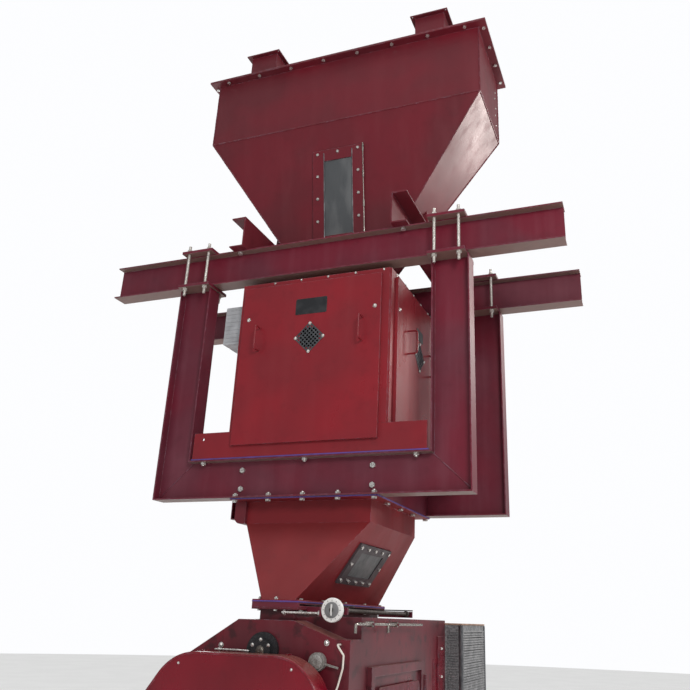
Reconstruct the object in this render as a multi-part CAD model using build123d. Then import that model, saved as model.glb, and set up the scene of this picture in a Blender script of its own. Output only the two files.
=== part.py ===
from build123d import *
import math
import os

# Hammer mill with its surge hopper, feeder cabinet and hanger frames, in millimetres.
# The origin is on the floor at the centre of the mill's anchor bolts, +X right, +Y back, +Z up.

# ---- heights above the floor ----
frame_z = 2150              # underside of the hanger frames
beam_rise = 1230            # beam underside above frame underside
skirt_rise = 2366           # where the hopper skirt turns into the slopes
hopper_rise = 2851          # top face of the hopper flange
cabinet_rise = 1190         # cabinet roof
rotor_z = 1030              # rotor axis
feed_z = 1456               # feed roll axis
housing_foot_z = 640        # mill housing's bottom flange

# ---- rolled sections ----
section_depth = 200
section_flange = 100
flange_t = 7
web_t = 6

# ---- hanger frames and beams ----
tower_y = 60                # tower centre behind the mill centre
frame_width = 1732
frame_spacing = 802
beam_length = 2700
clamp_t = 16
clamp_x = 755
clamp_width = 204
clamp_depth = 200
rod_spacing = 132
rod_offset = 79
rod_r = 8
rod_tail = 46

# ---- hopper ----
hopper_half_x = 958
hopper_half_y = 326
lip = 51
hopper_wall = 5
flange_plate = 8
outlet_half_x = 147
outlet_half_y = 101
outlet_neck = 45
lid_t = 6
collar_x = 590
collar_y = -106
collar_half = 95
collar_lip = 27
collar_height = 190
bearer_x = 450
bearer_flange = 90
bearer_height = 190
bearer_half_y = 500
bearer_t = 8

# ---- feeder cabinet ----
cabinet_half = 440
cabinet_depth_half = 443
cabinet_wall = 4
pan_t = 8
pan_half_x = 655
ledge_half_x = 650
ledge_height = 137
door_half = 410
door_z0 = 268
door_z1 = 1158
door_t = 18
door_gap = 0.6
side_door_half = 385
door_open_half = 350
handle_half = 65
handle_reach = 58
handle_r = 5
trough_half_x = 300
trough_half_y = 175
trough_wall = 5
feeder_r = 150
feeder_z = 660
feeder_shaft_r = 25

# ---- transition chute and gate ----
chute_half_x = 340
chute_half_y = 355
chute_flange_x = 402
chute_flange_y = 436
chute_collar = 118
chute_foot = 485
throat_half_x = 85
throat_half_y = 540
chute_wall = 5
gate_flange_x = 115
gate_flange_y = 569
gate_depth = 26
blade_t = 6
blade_gap = 0.3
blade_travel = 150
rack_y = 430
rack_reach = 215
pinion_r = 15
gate_shaft_r = 10
gate_shaft_x = 290
dial_r = 50
dial_y = -588

# ---- mill ----
mill_half_x = 400
mill_half_y = 640
mill_tail_y = 840
shoulder_z = 1415
eave_x = 330
eave_z = 1511
crown_z = 1579
crown_half_x = 134
plenum_z = 1600
plenum_x = 240
plenum_y0 = -516
mill_wall = 10
end_wall = 12
door_y0 = -432
door_y1 = 341
mill_door_z0 = 800
mill_door_z1 = 1400
mill_door_t = 22
latch_rod_r = 6
latch_gap = 3
disc_r = 235
disc_t = 10
disc_count = 10
disc_pitch = 122
pin_circle = 190
pin_r = 12
hammer_reach = 150
hammer_width = 50
hammer_t = 8
shaft_r = 45
screen_r = 356
screen_t = 5
feed_roll_r = 60
feed_shaft_r = 20
director_x = 262
director_z = 1423
director_r = 14

# ---- drive ----
motor_x = -715
motor_z = 621
motor_r = 165
motor_shaft_r = 30
motor_y0 = -600
motor_length = 620
guard_y0 = -790
guard_depth = 112
guard_wall = 4
rotor_sheave_r = 130
motor_sheave_r = 150
sheave_width = 76
belt_t = 12
sheave_y = -735

# ---- base ----
leg_half = 50
leg_x = 350
leg_y = 590
base_plate_half = 110
base_plate_t = 20
rail_half = 30
rail_h = 80
anchor_r = 11
anchor_out = 62
running = 0.05              # radial clearance of shafts that turn
seat = 0.3                  # clearance of parts that only sit in place

# ---- derived places ----
front_y = tower_y - frame_spacing / 2
rear_y = tower_y + frame_spacing / 2
beam_z = frame_z + beam_rise
leg_top = beam_z - clamp_t
gate_top = frame_z - chute_foot - flange_plate
gate_foot = gate_top - gate_depth
blade_z = gate_foot + 10
gate_shaft_z = blade_z - pinion_r - seat
pan_top = frame_z + section_depth + pan_t

nodes = {}


def add(name, *solids):
    nodes.setdefault(name, []).extend(solids)


def block(x0, x1, y0, y1, z0, z1):
    size = Box(x1 - x0, y1 - y0, z1 - z0)
    return Pos((x0 + x1) / 2, (y0 + y1) / 2, (z0 + z1) / 2) * size


def cyl_z(x, y, r, z0, z1):
    return Pos(x, y, (z0 + z1) / 2) * Cylinder(r, z1 - z0)


def cyl_y(x, z, r, y0, y1):
    return Pos(x, (y0 + y1) / 2, z) * Rot(90, 0, 0) * Cylinder(r, y1 - y0)


def cyl_x(y, z, r, x0, x1):
    return Pos((x0 + x1) / 2, y, z) * Rot(0, 90, 0) * Cylinder(r, x1 - x0)


def prism_y(points, y0, y1):
    """Solid with an XZ outline between two Y planes."""
    outline = Plane(origin=(0, y0, 0), x_dir=(1, 0, 0), z_dir=(0, -1, 0)) * Polygon(*points, align=None)
    return extrude(outline, amount=y1 - y0, dir=(0, 1, 0))


def frustum(z0, box0, z1, box1):
    """Four-sided loft between two rectangles given as (half_x, half_y, centre_y)."""
    low = Pos(0, box0[2], z0) * Rectangle(2 * box0[0], 2 * box0[1])
    high = Pos(0, box1[2], z1) * Rectangle(2 * box1[0], 2 * box1[1])
    return loft([low, high], ruled=True)


def bolt(place, grip, r, with_nut=True):
    """Hex bolt, head below the place's plane, and its nut at the far side of the grip."""
    flats = 3.2 * r
    head = Pos(0, 0, -1.3 * r) * extrude(RegularPolygon(flats / 2, 6, major_radius=False), 1.3 * r)
    stem = grip + 2.4 * r if with_nut else grip
    solids = [place * (head + Pos(0, 0, stem / 2) * Cylinder(r, stem))]
    if with_nut:
        ring = extrude(RegularPolygon(flats / 2, 6, major_radius=False), 1.6 * r)
        nut = ring - Pos(0, 0, 0.8 * r) * Cylinder(r + running, 1.6 * r)
        solids.append(place * Pos(0, 0, grip) * nut)
    return solids


def stud(place, grip, r):
    """Weld stud flush with the place's plane, and its nut at the far side of the grip."""
    length = grip + 2.4 * r
    ring = extrude(RegularPolygon(1.6 * r, 6, major_radius=False), 1.6 * r)
    nut = ring - Pos(0, 0, 0.8 * r) * Cylinder(r + running, 1.6 * r)
    return [place * Pos(0, 0, length / 2) * Cylinder(r, length), place * Pos(0, 0, grip) * nut]


def hole(place, grip, r):
    return place * Pos(0, 0, grip / 2) * Cylinder(r + seat, grip + 4)


def bolt_group(name, places, grip, r, plates):
    """Bolts at the places and their holes through every plate in the dictionary."""
    for place in places:
        add(name, *bolt(place, grip, r))
        for key in plates:
            nodes[key][0] = nodes[key][0] - hole(place, grip, r)


def facing(x, y, z, direction):
    return Plane(origin=(x, y, z), z_dir=direction).location


def spread(half, count):
    return [-half + 2 * half * i / (count - 1) for i in range(count)]


# ---- structure ----
def hanger_frame(y):
    """U-shaped frame of mitred I-section, flanges outside and inside, web facing front."""
    half = frame_width / 2
    top = leg_top
    inner = half - section_depth
    sill = frame_z + section_depth
    flange = section_flange / 2

    def ring(x_out, z_out, x_in, z_in, depth):
        outer = block(-x_out, x_out, y - depth, y + depth, z_out, top)
        return outer - block(-x_in, x_in, y - depth - 1, y + depth + 1, z_in, top + 1)
    web = ring(half, frame_z, inner, sill, web_t / 2)
    outside = ring(half, frame_z, half - flange_t, frame_z + flange_t, flange)
    inside = ring(inner + flange_t, sill - flange_t, inner, sill, flange)
    return web + outside + inside


def beam(y):
    """Straight I-section beam along X."""
    half = beam_length / 2
    flange = section_flange / 2
    top = beam_z + section_depth
    low = block(-half, half, y - flange, y + flange, beam_z, beam_z + flange_t)
    high = block(-half, half, y - flange, y + flange, top - flange_t, top)
    return low + high + block(-half, half, y - web_t / 2, y + web_t / 2, beam_z, top)


def clamps():
    """Two plates and four threaded rods hang each frame leg from its beam."""
    top = beam_z + section_depth
    grip = top - beam_z + 2 * clamp_t
    for side in (-1, 1):
        for y in (front_y, rear_y):
            x0 = side * clamp_x - clamp_width / 2
            low = block(x0, x0 + clamp_width, y - clamp_depth / 2, y + clamp_depth / 2, leg_top, beam_z)
            high = block(x0, x0 + clamp_width, y - clamp_depth / 2, y + clamp_depth / 2, top, top + clamp_t)
            for dx in (-rod_spacing / 2, rod_spacing / 2):
                for dy in (-rod_offset, rod_offset):
                    place = facing(side * clamp_x + dx, y + dy, leg_top, (0, 0, 1))
                    low = low - hole(place, clamp_t, rod_r)
                    high = high - hole(place * Pos(0, 0, grip - clamp_t), clamp_t, rod_r)
                    rod = Cylinder(rod_r, grip + 2 * rod_tail - 6)
                    add("hanger_rods", place * Pos(0, 0, (grip - 6) / 2) * rod)
                    nut = extrude(RegularPolygon(1.6 * rod_r, 6, major_radius=False), 14)
                    nut = nut - Pos(0, 0, 7) * Cylinder(rod_r + running, 14)
                    add("hanger_rods", place * Pos(0, 0, grip) * nut, place * Pos(0, 0, -14) * nut)
            add("clamp_plates", low, high)


def cross_channels():
    """Channels between the two frames' webs, over the chute's side flanges."""
    y0 = front_y + web_t / 2
    y1 = rear_y - web_t / 2
    for side in (-1, 1):
        x = side * chute_flange_x
        web = block(min(x, x - side * 8), max(x, x - side * 8), y0, y1, frame_z + flange_t, frame_z + 176)
        shelf_x = x - side * 60
        shelf = block(min(x, shelf_x), max(x, shelf_x), front_y + section_flange / 2,
                      rear_y - section_flange / 2, frame_z, frame_z + flange_t)
        tie = block(min(x, x - side * 8), max(x, x - side * 8), front_y + section_flange / 2,
                    rear_y - section_flange / 2, frame_z, frame_z + 20)
        clip_x = x - side * 70
        channel = web + shelf + tie
        for y, back in ((y0, 1), (y1, -1)):
            clip = block(min(x, clip_x), max(x, clip_x), min(y, y + back * 8), max(y, y + back * 8),
                         frame_z + 20, frame_z + 176)
            channel = channel + clip
        add("cross_channels", channel)


# ---- hopper ----
def hopper():
    skirt_z = frame_z + skirt_rise
    top = frame_z + hopper_rise
    foot = frame_z + cabinet_rise
    throat_z = foot + outlet_neck
    sx = hopper_half_x - lip
    sy = hopper_half_y - lip
    outer = block(-sx, sx, tower_y - sy, tower_y + sy, skirt_z, top)
    outer = outer + frustum(throat_z, (outlet_half_x, outlet_half_y, tower_y), skirt_z, (sx, sy, tower_y))
    outer = outer + block(-outlet_half_x, outlet_half_x, tower_y - outlet_half_y,
                          tower_y + outlet_half_y, foot, throat_z)
    w = hopper_wall
    inner = block(-sx + w, sx - w, tower_y - sy + w, tower_y + sy - w, skirt_z, top + 1)
    inner = inner + frustum(throat_z, (outlet_half_x - w, outlet_half_y - w, tower_y),
                            skirt_z, (sx - w, sy - w, tower_y))
    inner = inner + block(-outlet_half_x + w, outlet_half_x - w, tower_y - outlet_half_y + w,
                          tower_y + outlet_half_y - w, foot - 1, throat_z)
    rim = block(-hopper_half_x, hopper_half_x, tower_y - hopper_half_y, tower_y + hopper_half_y,
                top - flange_plate, top)
    foot_flange = block(-outlet_half_x - 40, outlet_half_x + 40, tower_y - outlet_half_y - 40,
                        tower_y + outlet_half_y + 40, foot, foot + flange_plate)
    add("hopper_shell", outer + rim + foot_flange - inner)
    lid = block(-hopper_half_x, hopper_half_x, tower_y - hopper_half_y, tower_y + hopper_half_y,
                top, top + lid_t)
    for side in (-1, 1):
        x = side * collar_x
        lid = lid - block(x - collar_half, x + collar_half, collar_y - collar_half,
                          collar_y + collar_half, top - 1, top + lid_t + 1)
        add("inlet_collars", collar(x, top + lid_t))
    add("hopper_lid", lid)
    bolt_y = hopper_half_y - 23
    bolt_x = hopper_half_x - 23
    places = []
    for x in spread(826, 8):
        for y in (-bolt_y, bolt_y):
            places.append(facing(x, tower_y + y, top - flange_plate, (0, 0, 1)))
    for y in spread(260, 4):
        for x in (-bolt_x, bolt_x):
            places.append(facing(x, tower_y + y, top - flange_plate, (0, 0, 1)))
    bolt_group("hopper_bolts", places, flange_plate + lid_t, 6, ["hopper_shell", "hopper_lid"])


def collar(x, z):
    """Square duct stub with an outward flange at its top and a weld flange at its foot."""
    inside = collar_half - 4
    outer = collar_half + collar_lip
    stub = block(x - collar_half, x + collar_half, collar_y - collar_half, collar_y + collar_half,
                 z, z + collar_height)
    top = block(x - outer, x + outer, collar_y - outer, collar_y + outer,
                z + collar_height - 8, z + collar_height)
    foot = block(x - outer, x + outer, collar_y - outer, collar_y + outer, z, z + 6)
    body = stub + top + foot - block(x - inside, x + inside, collar_y - inside, collar_y + inside,
                                     z - 1, z + collar_height + 1)
    for dx in (-1, 1):
        for dy in (-1, 1):
            body = body - cyl_z(x + dx * (outer - 12), collar_y + dy * (outer - 12), 5.5,
                                z + collar_height - 12, z + collar_height + 4)
    return body


def bearers():
    """Channels along Y that carry the hopper on both beams, with a saddle to each hopper slope."""
    z0 = beam_z + section_depth
    z1 = z0 + bearer_height
    slope = (hopper_half_x - lip - outlet_half_x) / (skirt_rise - cabinet_rise - outlet_neck)
    places = []
    for side in (-1, 1):
        def bar(xa, xb, ya, yb, za, zb):
            near, far = sorted((side * xa, side * xb))
            return block(near, far, tower_y + ya, tower_y + yb, za, zb)
        x1 = bearer_x + bearer_flange
        web = bar(bearer_x, bearer_x + bearer_t, -bearer_half_y, bearer_half_y, z0, z1)
        low = bar(bearer_x, x1, -bearer_half_y, bearer_half_y, z0, z0 + bearer_t)
        high = bar(bearer_x, x1, -bearer_half_y, bearer_half_y, z1 - bearer_t, z1)
        rise = z1 - frame_z - cabinet_rise - outlet_neck
        seat_x = outlet_half_x + rise * slope
        saddle = bar(seat_x, x1 - 10, -110, 110, z1, z1 + bearer_t)
        knee = prism_y([(side * seat_x, z1 + bearer_t),
                        (side * (x1 - 20), z1 + bearer_t),
                        (side * (seat_x + 150 * slope), z1 + 150)], tower_y - 6, tower_y + 6)
        add("hopper_bearers", web + low + high, (saddle + knee) - nodes["hopper_shell"][0])
        for y in (front_y - 32, rear_y + 32):
            places.append(facing(side * (bearer_x + 52), y, z0 - flange_t, (0, 0, 1)))
    return places


def slope_place(x, y, z, normal, along):
    return Plane(origin=(x, y, z), x_dir=along, z_dir=normal).location


def window(place, half_w, half_h, view_w, view_h, bolt_places, wall, shell, bolts):
    """Bolted frame over a rebated pane, with its opening and holes in the shell."""
    t = 12
    pane_w = view_w + 16
    pane_h = view_h + 16
    frame = Pos(0, 0, t / 2) * Box(2 * half_w, 2 * half_h, t)
    frame = frame - Pos(0, 0, t / 2) * Box(2 * view_w, 2 * view_h, t + 2)
    frame = frame - Pos(0, 0, 3 + seat / 2) * Box(2 * pane_w + 2 * seat, 2 * pane_h + 2 * seat, 6 + seat)
    pane = Pos(0, 0, 3) * Box(2 * pane_w, 2 * pane_h, 6)
    nodes[shell][0] = nodes[shell][0] - place * Box(2 * view_w - 10, 2 * view_h - 10, 40)
    holes = []
    for x, y in bolt_places:
        spot = place * Pos(x, y, t) * Rot(180, 0, 0)
        add(bolts, *bolt(spot, t + wall, 5))
        nodes[shell][0] = nodes[shell][0] - hole(spot, t + wall, 5)
        holes.append(Pos(x, y, t / 2) * Cylinder(5 + seat, t + 2))
    for cut in holes:
        frame = frame - cut
    add("window_frames", place * frame)
    add("sight_glasses", place * pane)


def hopper_window():
    rise = skirt_rise - cabinet_rise - outlet_neck
    run = hopper_half_y - lip - outlet_half_y
    z = frame_z + 1852
    y = tower_y - outlet_half_y - run * (z - frame_z - cabinet_rise - outlet_neck) / rise
    place = slope_place(0, y, z, (0, -rise, -run), (1, 0, 0))
    spots = [(x, v) for x in (-135, 135) for v in spread(297, 5)]
    spots += [(0, -297), (0, 297)]
    window(place, 170, 322, 92, 247, spots, hopper_wall, "hopper_shell", "hopper_bolts")


# ---- cabinet ----
def cabinet():
    h = cabinet_half
    d = cabinet_depth_half
    w = cabinet_wall
    top = frame_z + cabinet_rise
    body = block(-h, h, tower_y - d, tower_y + d, pan_top, top)
    body = body - block(-h + w, h - w, tower_y - d + w, tower_y + d - w, pan_top + w, top - w)
    z0 = frame_z + 370
    z1 = frame_z + 1130
    ledge_top = pan_top + ledge_height
    stile = block(-h, h, tower_y - d - 8, tower_y - d, ledge_top + seat, top)
    side_stile = block(h, h + 8, tower_y - d, tower_y + d, pan_top, top)
    body = body + stile + side_stile
    body = body - block(-door_open_half, door_open_half, tower_y - d - 9, tower_y - d + w + 1, z0, z1)
    body = body - block(h - w - 1, h + 9, tower_y - 330, tower_y + 330, z0, z1)
    throat_x = outlet_half_x - hopper_wall
    throat_y = outlet_half_y - hopper_wall
    body = body - block(-throat_x, throat_x, tower_y - throat_y, tower_y + throat_y, top - w - 1, top + 1)
    duct_x = trough_half_x - trough_wall
    duct_y = trough_half_y - trough_wall
    floor_cut = block(-duct_x, duct_x, tower_y - duct_y, tower_y + duct_y,
                      pan_top - pan_t - 1, pan_top + w + 1)
    add("cabinet_body", body - floor_cut)
    y0 = front_y - section_flange / 2
    y1 = rear_y + section_flange / 2
    sill = frame_z + section_depth
    pan = block(-pan_half_x, pan_half_x, y0, y1, sill, pan_top) - floor_cut
    for a, b in ((y0, tower_y - d), (tower_y + d, y1)):
        ledge = block(-ledge_half_x, ledge_half_x, a, b, pan_top, pan_top + ledge_height)
        ledge = ledge - cyl_y(-593, pan_top + 103, 7, a - 1, b + 1)
        pan = pan + ledge
    add("base_pan", pan)


def doors():
    """Lift-off doors, each a flat pan with a shallow stiffening return behind its sheet."""
    y1 = tower_y - cabinet_depth_half - 8 - door_gap
    z0 = frame_z + door_z0
    z1 = frame_z + door_z1
    front = block(-door_half - 6, door_half - 10, y1 - door_t, y1, z0, z1)
    front = front - block(-door_half + 14, door_half - 30, y1 - door_t + 3, y1 + 1, z0 + 20, z1 - 20)
    vent_z = frame_z + 829
    front = front - cyl_y(0, vent_z, 58, y1 - door_t - 1, y1 + 1)
    add("cabinet_front_door", front)
    add("front_door_vent", vent_plate(facing(0, y1 - door_t, vent_z, (0, -1, 0))))
    for x in (-300, 300):
        add("front_door_handles", bow_handle(facing(x, y1 - door_t, frame_z + 846, (0, -1, 0))))
    x0 = cabinet_half + 8 + door_gap
    side = block(x0, x0 + door_t, tower_y - side_door_half, tower_y + side_door_half, z0, z1)
    side = side - block(x0 - 1, x0 + door_t - 3, tower_y - side_door_half + 20,
                        tower_y + side_door_half - 20, z0 + 20, z1 - 20)
    side = side - cyl_x(tower_y, vent_z, 58, x0 - 1, x0 + door_t + 1)
    add("cabinet_side_door", side)
    add("side_door_vent", vent_plate(facing(x0 + door_t, tower_y, vent_z, (1, 0, 0))))
    for y in (-210, 210):
        place = facing(x0 + door_t, tower_y + y, frame_z + 846, (1, 0, 0))
        add("side_door_handles", bow_handle(place))


def upright(place):
    """The same place turned so that its local Y is as near +Z as it can be."""
    plane = Plane(place)
    return Plane(origin=plane.origin, x_dir=Vector(0, 0, 1).cross(plane.z_dir), z_dir=plane.z_dir).location


def vent_plate(place):
    """Square perforated plate standing on one corner."""
    side = 126
    plate = Pos(0, 0, 1) * Rot(0, 0, 45) * Box(side, side, 2)
    pitch = 17
    cuts = []
    for i in range(-3, 4):
        for j in range(-3, 4):
            cuts.append(Rot(0, 0, 45) * Pos(i * pitch, j * pitch, 1) * Cylinder(6, 4))
    return upright(place) * (plate - cuts)


def bow_handle(place):
    """Bent-rod handle that stands off the sheet."""
    h = handle_half
    reach = handle_reach - handle_r
    path = FilletPolyline((0, -h, 0), (0, -h, reach), (0, h, reach), (0, h, 0), radius=14)
    return upright(place) * sweep(Pos(0, -h, 0) * Circle(handle_r), path=path, transition=Transition.ROUND)


def feeder():
    """Trough, fluted roll, bearings and geared motor inside the cabinet."""
    z0 = pan_top + cabinet_wall
    z1 = frame_z + cabinet_rise - cabinet_wall
    axis_z = frame_z + feeder_z
    hx = trough_half_x
    hy = trough_half_y
    w = trough_wall
    trough = block(-hx, hx, tower_y - hy, tower_y + hy, z0, z1)
    trough = trough - block(-hx + w, hx - w, tower_y - hy + w, tower_y + hy - w, z0 - 1, z1 + 1)
    trough = trough - cyl_x(tower_y, axis_z, feeder_shaft_r + 8, -hx - 1, hx + 1)
    add("feeder_trough", trough)
    end_x = hx + 46
    roll = cyl_x(tower_y, axis_z, 96, -hx + w + 8, hx - w - 8)
    roll = roll + cyl_x(tower_y, axis_z, feeder_shaft_r, -end_x, end_x)
    for i in range(8):
        flute = block(-hx + w + 8, hx - w - 8, 80, feeder_r, -5, 5)
        roll = roll + Pos(0, tower_y, axis_z) * Rot(45 * i, 0, 0) * flute
    add("feeder_roll", roll)
    for side in (-1, 1):
        place = facing(side * hx, tower_y, axis_z, (side, 0, 0))
        flange = Pos(0, 0, 8) * Box(130, 130, 16) + Pos(0, 0, 20) * Cylinder(48, 40)
        add("feeder_bearings", place * (flange - Pos(0, 0, 20) * Cylinder(feeder_shaft_r + running, 50)))
    x1 = -hx - 46 - seat
    case = block(-cabinet_half + cabinet_wall, x1, tower_y - 75, tower_y + 75, axis_z - 95, axis_z + 60)
    drum = cyl_y(-hx - 88, axis_z - 10, 48, tower_y + 75, tower_y + 330)
    add("gearmotors", case + drum)


def control_box():
    x1 = -cabinet_half
    box = block(x1 - 132, x1, tower_y - 400, tower_y - 150, frame_z + 864, frame_z + 1090)
    edges = box.edges().filter_by(Axis.Y)
    add("control_box", fillet(edges, 6))


# ---- chute and gate ----
def chute():
    top = frame_z
    bend = frame_z - chute_collar
    foot = frame_z - chute_foot
    w = chute_wall
    outer = block(-chute_half_x, chute_half_x, tower_y - chute_half_y, tower_y + chute_half_y, bend, top)
    outer = outer + frustum(foot, (throat_half_x, throat_half_y, 0),
                            bend, (chute_half_x, chute_half_y, tower_y))
    inner = block(-chute_half_x + w, chute_half_x - w, tower_y - chute_half_y + w,
                  tower_y + chute_half_y - w, bend, top + 1)
    inner = inner + frustum(foot, (throat_half_x - w, throat_half_y - w, 0),
                            bend, (chute_half_x - w, chute_half_y - w, tower_y))
    rim = block(-chute_flange_x, chute_flange_x, tower_y - chute_flange_y, tower_y + chute_flange_y,
                top - flange_plate, top)
    flange = block(-gate_flange_x, gate_flange_x, -gate_flange_y, gate_flange_y, foot - flange_plate, foot)
    slot = block(-throat_half_x + w, throat_half_x - w, -throat_half_y + w, throat_half_y - w,
                 foot - flange_plate - 1, foot)
    add("chute", outer + rim + flange - inner - slot)
    rise = chute_foot - chute_collar
    run = chute_half_x - throat_half_x
    mid = rise / 2
    x = throat_half_x + run * mid / rise
    place = slope_place(x, -35, foot + mid, (rise, 0, -run), (0, 1, 0))
    spots = [(u, v) for u in spread(195, 5) for v in (-92, 92)]
    spots += [(-195, 0), (195, 0)]
    window(place, 219, 111, 150, 66, spots, chute_wall, "chute", "chute_bolts")
    hood = block(-chute_half_x - 62, -chute_half_x, tower_y - chute_half_y - 20, tower_y - 232,
                 top - flange_plate - 112, top - flange_plate)
    edge = hood.edges().filter_by(Axis.Y).group_by(Axis.Z)[0].sort_by(Axis.X)[0]
    hood = fillet(edge, 34)
    hood = hood - block(-chute_half_x, 0, tower_y - chute_half_y, tower_y + chute_half_y, 0, top)
    add("aspiration_hood", hood)


def chute_bolting():
    """Bolts of the chute's top flange and of the gate's flanges."""
    z = frame_z - flange_plate
    grip = flange_plate + flange_t
    for y, key in ((front_y - 24, "hanger_frame_front"), (rear_y + 24, "hanger_frame_rear")):
        places = [facing(x, y, z, (0, 0, 1)) for x in spread(380, 5)]
        bolt_group("chute_bolts", places, grip, 8, ["chute", key])
    for side, index in ((-1, 0), (1, 1)):
        for dy in (-210, 0, 210):
            place = facing(side * (chute_flange_x - 30), tower_y + dy, z, (0, 0, 1))
            add("chute_bolts", *bolt(place, grip, 8))
            cut = hole(place, grip, 8)
            nodes["chute"][0] = nodes["chute"][0] - cut
            nodes["cross_channels"][index] = nodes["cross_channels"][index] - cut
    z = gate_foot - flange_plate
    grip = gate_depth + 2 * flange_plate
    rows = (-518, -275, 0, 275, 518)
    places = [facing(-104, y, z, (0, 0, 1)) for y in rows]
    places += [facing(0, y, z, (0, 0, 1)) for y in (-559, 559)]
    bolt_group("chute_bolts", places, grip, 5, ["chute", "gate_frame", "mill_housing"])
    # on the blade's way out, short screws stop above and below the slot
    grip = flange_plate + blade_z - gate_foot - 3
    z_top = gate_top + flange_plate
    for start, direction, key in ((z, 1, "mill_housing"), (z_top, -1, "chute")):
        for y in rows:
            place = facing(104, y, start, (0, 0, direction))
            add("chute_bolts", *bolt(place, grip, 5, with_nut=False))
            for plate in (key, "gate_frame"):
                nodes[plate][0] = nodes[plate][0] - hole(place, grip, 5)


def gate():
    """Rack-driven slide gate between the chute and the mill inlet."""
    w = chute_wall
    frame = block(-gate_flange_x, gate_flange_x, -gate_flange_y, gate_flange_y, gate_foot, gate_top)
    frame = frame - block(-throat_half_x + w, throat_half_x - w, -throat_half_y + w, throat_half_y - w,
                          gate_foot - 1, gate_top + 1)
    frame = frame - block(-94, gate_flange_x + 1, -551, 551,
                          blade_z - blade_gap, blade_z + blade_t + blade_gap)
    arm_x = gate_shaft_x + 24
    for y in (-470, 470):
        arm = block(gate_flange_x, arm_x, y - 6, y + 6, gate_shaft_z - 18, blade_z - 2)
        frame = frame + (arm - cyl_y(gate_shaft_x, gate_shaft_z, gate_shaft_r + running, y - 7, y + 7))
    add("gate_frame", frame)
    blade = block(-92, 92, -550, 550, blade_z, blade_z + blade_t)
    for y in (-rack_y, rack_y):
        blade = blade + block(92, 112 + rack_reach, y - 8, y + 8, blade_z, blade_z + blade_t)
    add("gate_blade", blade)
    shaft = cyl_y(gate_shaft_x, gate_shaft_z, gate_shaft_r, dial_y - 16, 486)
    for y in (-rack_y, rack_y):
        shaft = shaft + cyl_y(gate_shaft_x, gate_shaft_z, pinion_r, y - 14, y + 14)
    add("gate_shaft", shaft)
    dial = cyl_y(gate_shaft_x, gate_shaft_z, dial_r, dial_y - 10, dial_y + 10)
    dial = dial - cyl_y(gate_shaft_x, gate_shaft_z, gate_shaft_r + running, dial_y - 11, dial_y + 11)
    add("gate_dial", fillet(dial.edges().filter_by(GeomType.CIRCLE).group_by(SortBy.RADIUS)[-1], 4))


# ---- mill ----
def housing():
    """Welded mill casing: inlet neck, sloped shoulders, plenum, door openings and end walls."""
    def outline(inset, plenum):
        hx = mill_half_x - inset
        points = [(-hx, housing_foot_z), (-hx, shoulder_z - inset * 0.6), (-crown_half_x, crown_z - inset)]
        if plenum:
            points += [(plenum_x, plenum_z - inset), (hx, plenum_z - inset)]
        else:
            points += [(crown_half_x, crown_z - inset), (eave_x, eave_z - inset), (hx, eave_z - inset)]
        return points + [(hx, housing_foot_z)]
    shell = prism_y(outline(0, False), -mill_half_y, mill_tail_y)
    shell = shell + prism_y(outline(0, True), plenum_y0, mill_tail_y)
    room = prism_y(outline(mill_wall, False), -mill_half_y + end_wall, mill_half_y - end_wall)
    room = room + prism_y(outline(mill_wall, True), plenum_y0 + mill_wall, mill_half_y - end_wall)
    tail = prism_y(outline(mill_wall, True), mill_half_y, mill_tail_y - mill_wall)
    shell = shell - room - tail
    neck_x = throat_half_x - chute_wall
    neck_y = throat_half_y - chute_wall
    top = gate_foot
    neck = block(-throat_half_x, throat_half_x, -throat_half_y, throat_half_y, crown_z - mill_wall, top)
    flange = block(-gate_flange_x, gate_flange_x, -gate_flange_y, gate_flange_y, top - flange_plate, top)
    shell = shell + neck + flange
    shell = shell - block(-neck_x, neck_x, -neck_y, neck_y, crown_z - 60, top + 1)
    for side in (-1, 1):
        x0 = side * (mill_half_x - mill_wall - 1)
        x1 = side * (mill_half_x + 1)
        shell = shell - block(min(x0, x1), max(x0, x1), door_y0 + 30, door_y1 - 30,
                              mill_door_z0 + 30, mill_door_z1 - 30)
    inner_face = mill_half_y - end_wall - 1
    outer_face = mill_half_y + 1
    for y0, y1 in ((-outer_face, -inner_face), (inner_face, outer_face)):
        shell = shell - cyl_y(0, rotor_z, shaft_r + 6, y0, y1) - cyl_y(0, feed_z, feed_shaft_r + 6, y0, y1)
    shell = shell - cyl_y(director_x, director_z, director_r + running, -outer_face, -inner_face)
    foot = block(-mill_half_x - 30, mill_half_x + 30, -mill_half_y - 30, mill_tail_y,
                 housing_foot_z - 12, housing_foot_z)
    foot = foot - block(-mill_half_x + 40, mill_half_x - 40, -mill_half_y + 40, mill_half_y - 40,
                        housing_foot_z - 13, housing_foot_z + 1)
    add("mill_housing", shell + foot)


def screen():
    """Half-round screen under the rotor on two side rails."""
    half_y = mill_half_y - end_wall - seat
    ring = cyl_y(0, rotor_z, screen_r + screen_t, -half_y, half_y)
    ring = ring - cyl_y(0, rotor_z, screen_r, -half_y - 1, half_y + 1)
    ring = ring - block(-500, 500, -half_y - 2, half_y + 2, rotor_z - 60, rotor_z + 500)
    for side in (-1, 1):
        x0 = side * (math.sqrt(screen_r ** 2 - 60 ** 2) - 2)
        x1 = side * (mill_half_x - mill_wall - seat)
        ring = ring + block(min(x0, x1), max(x0, x1), -half_y, half_y, rotor_z - 60, rotor_z - 50)
    add("mill_screen", ring)


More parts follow.
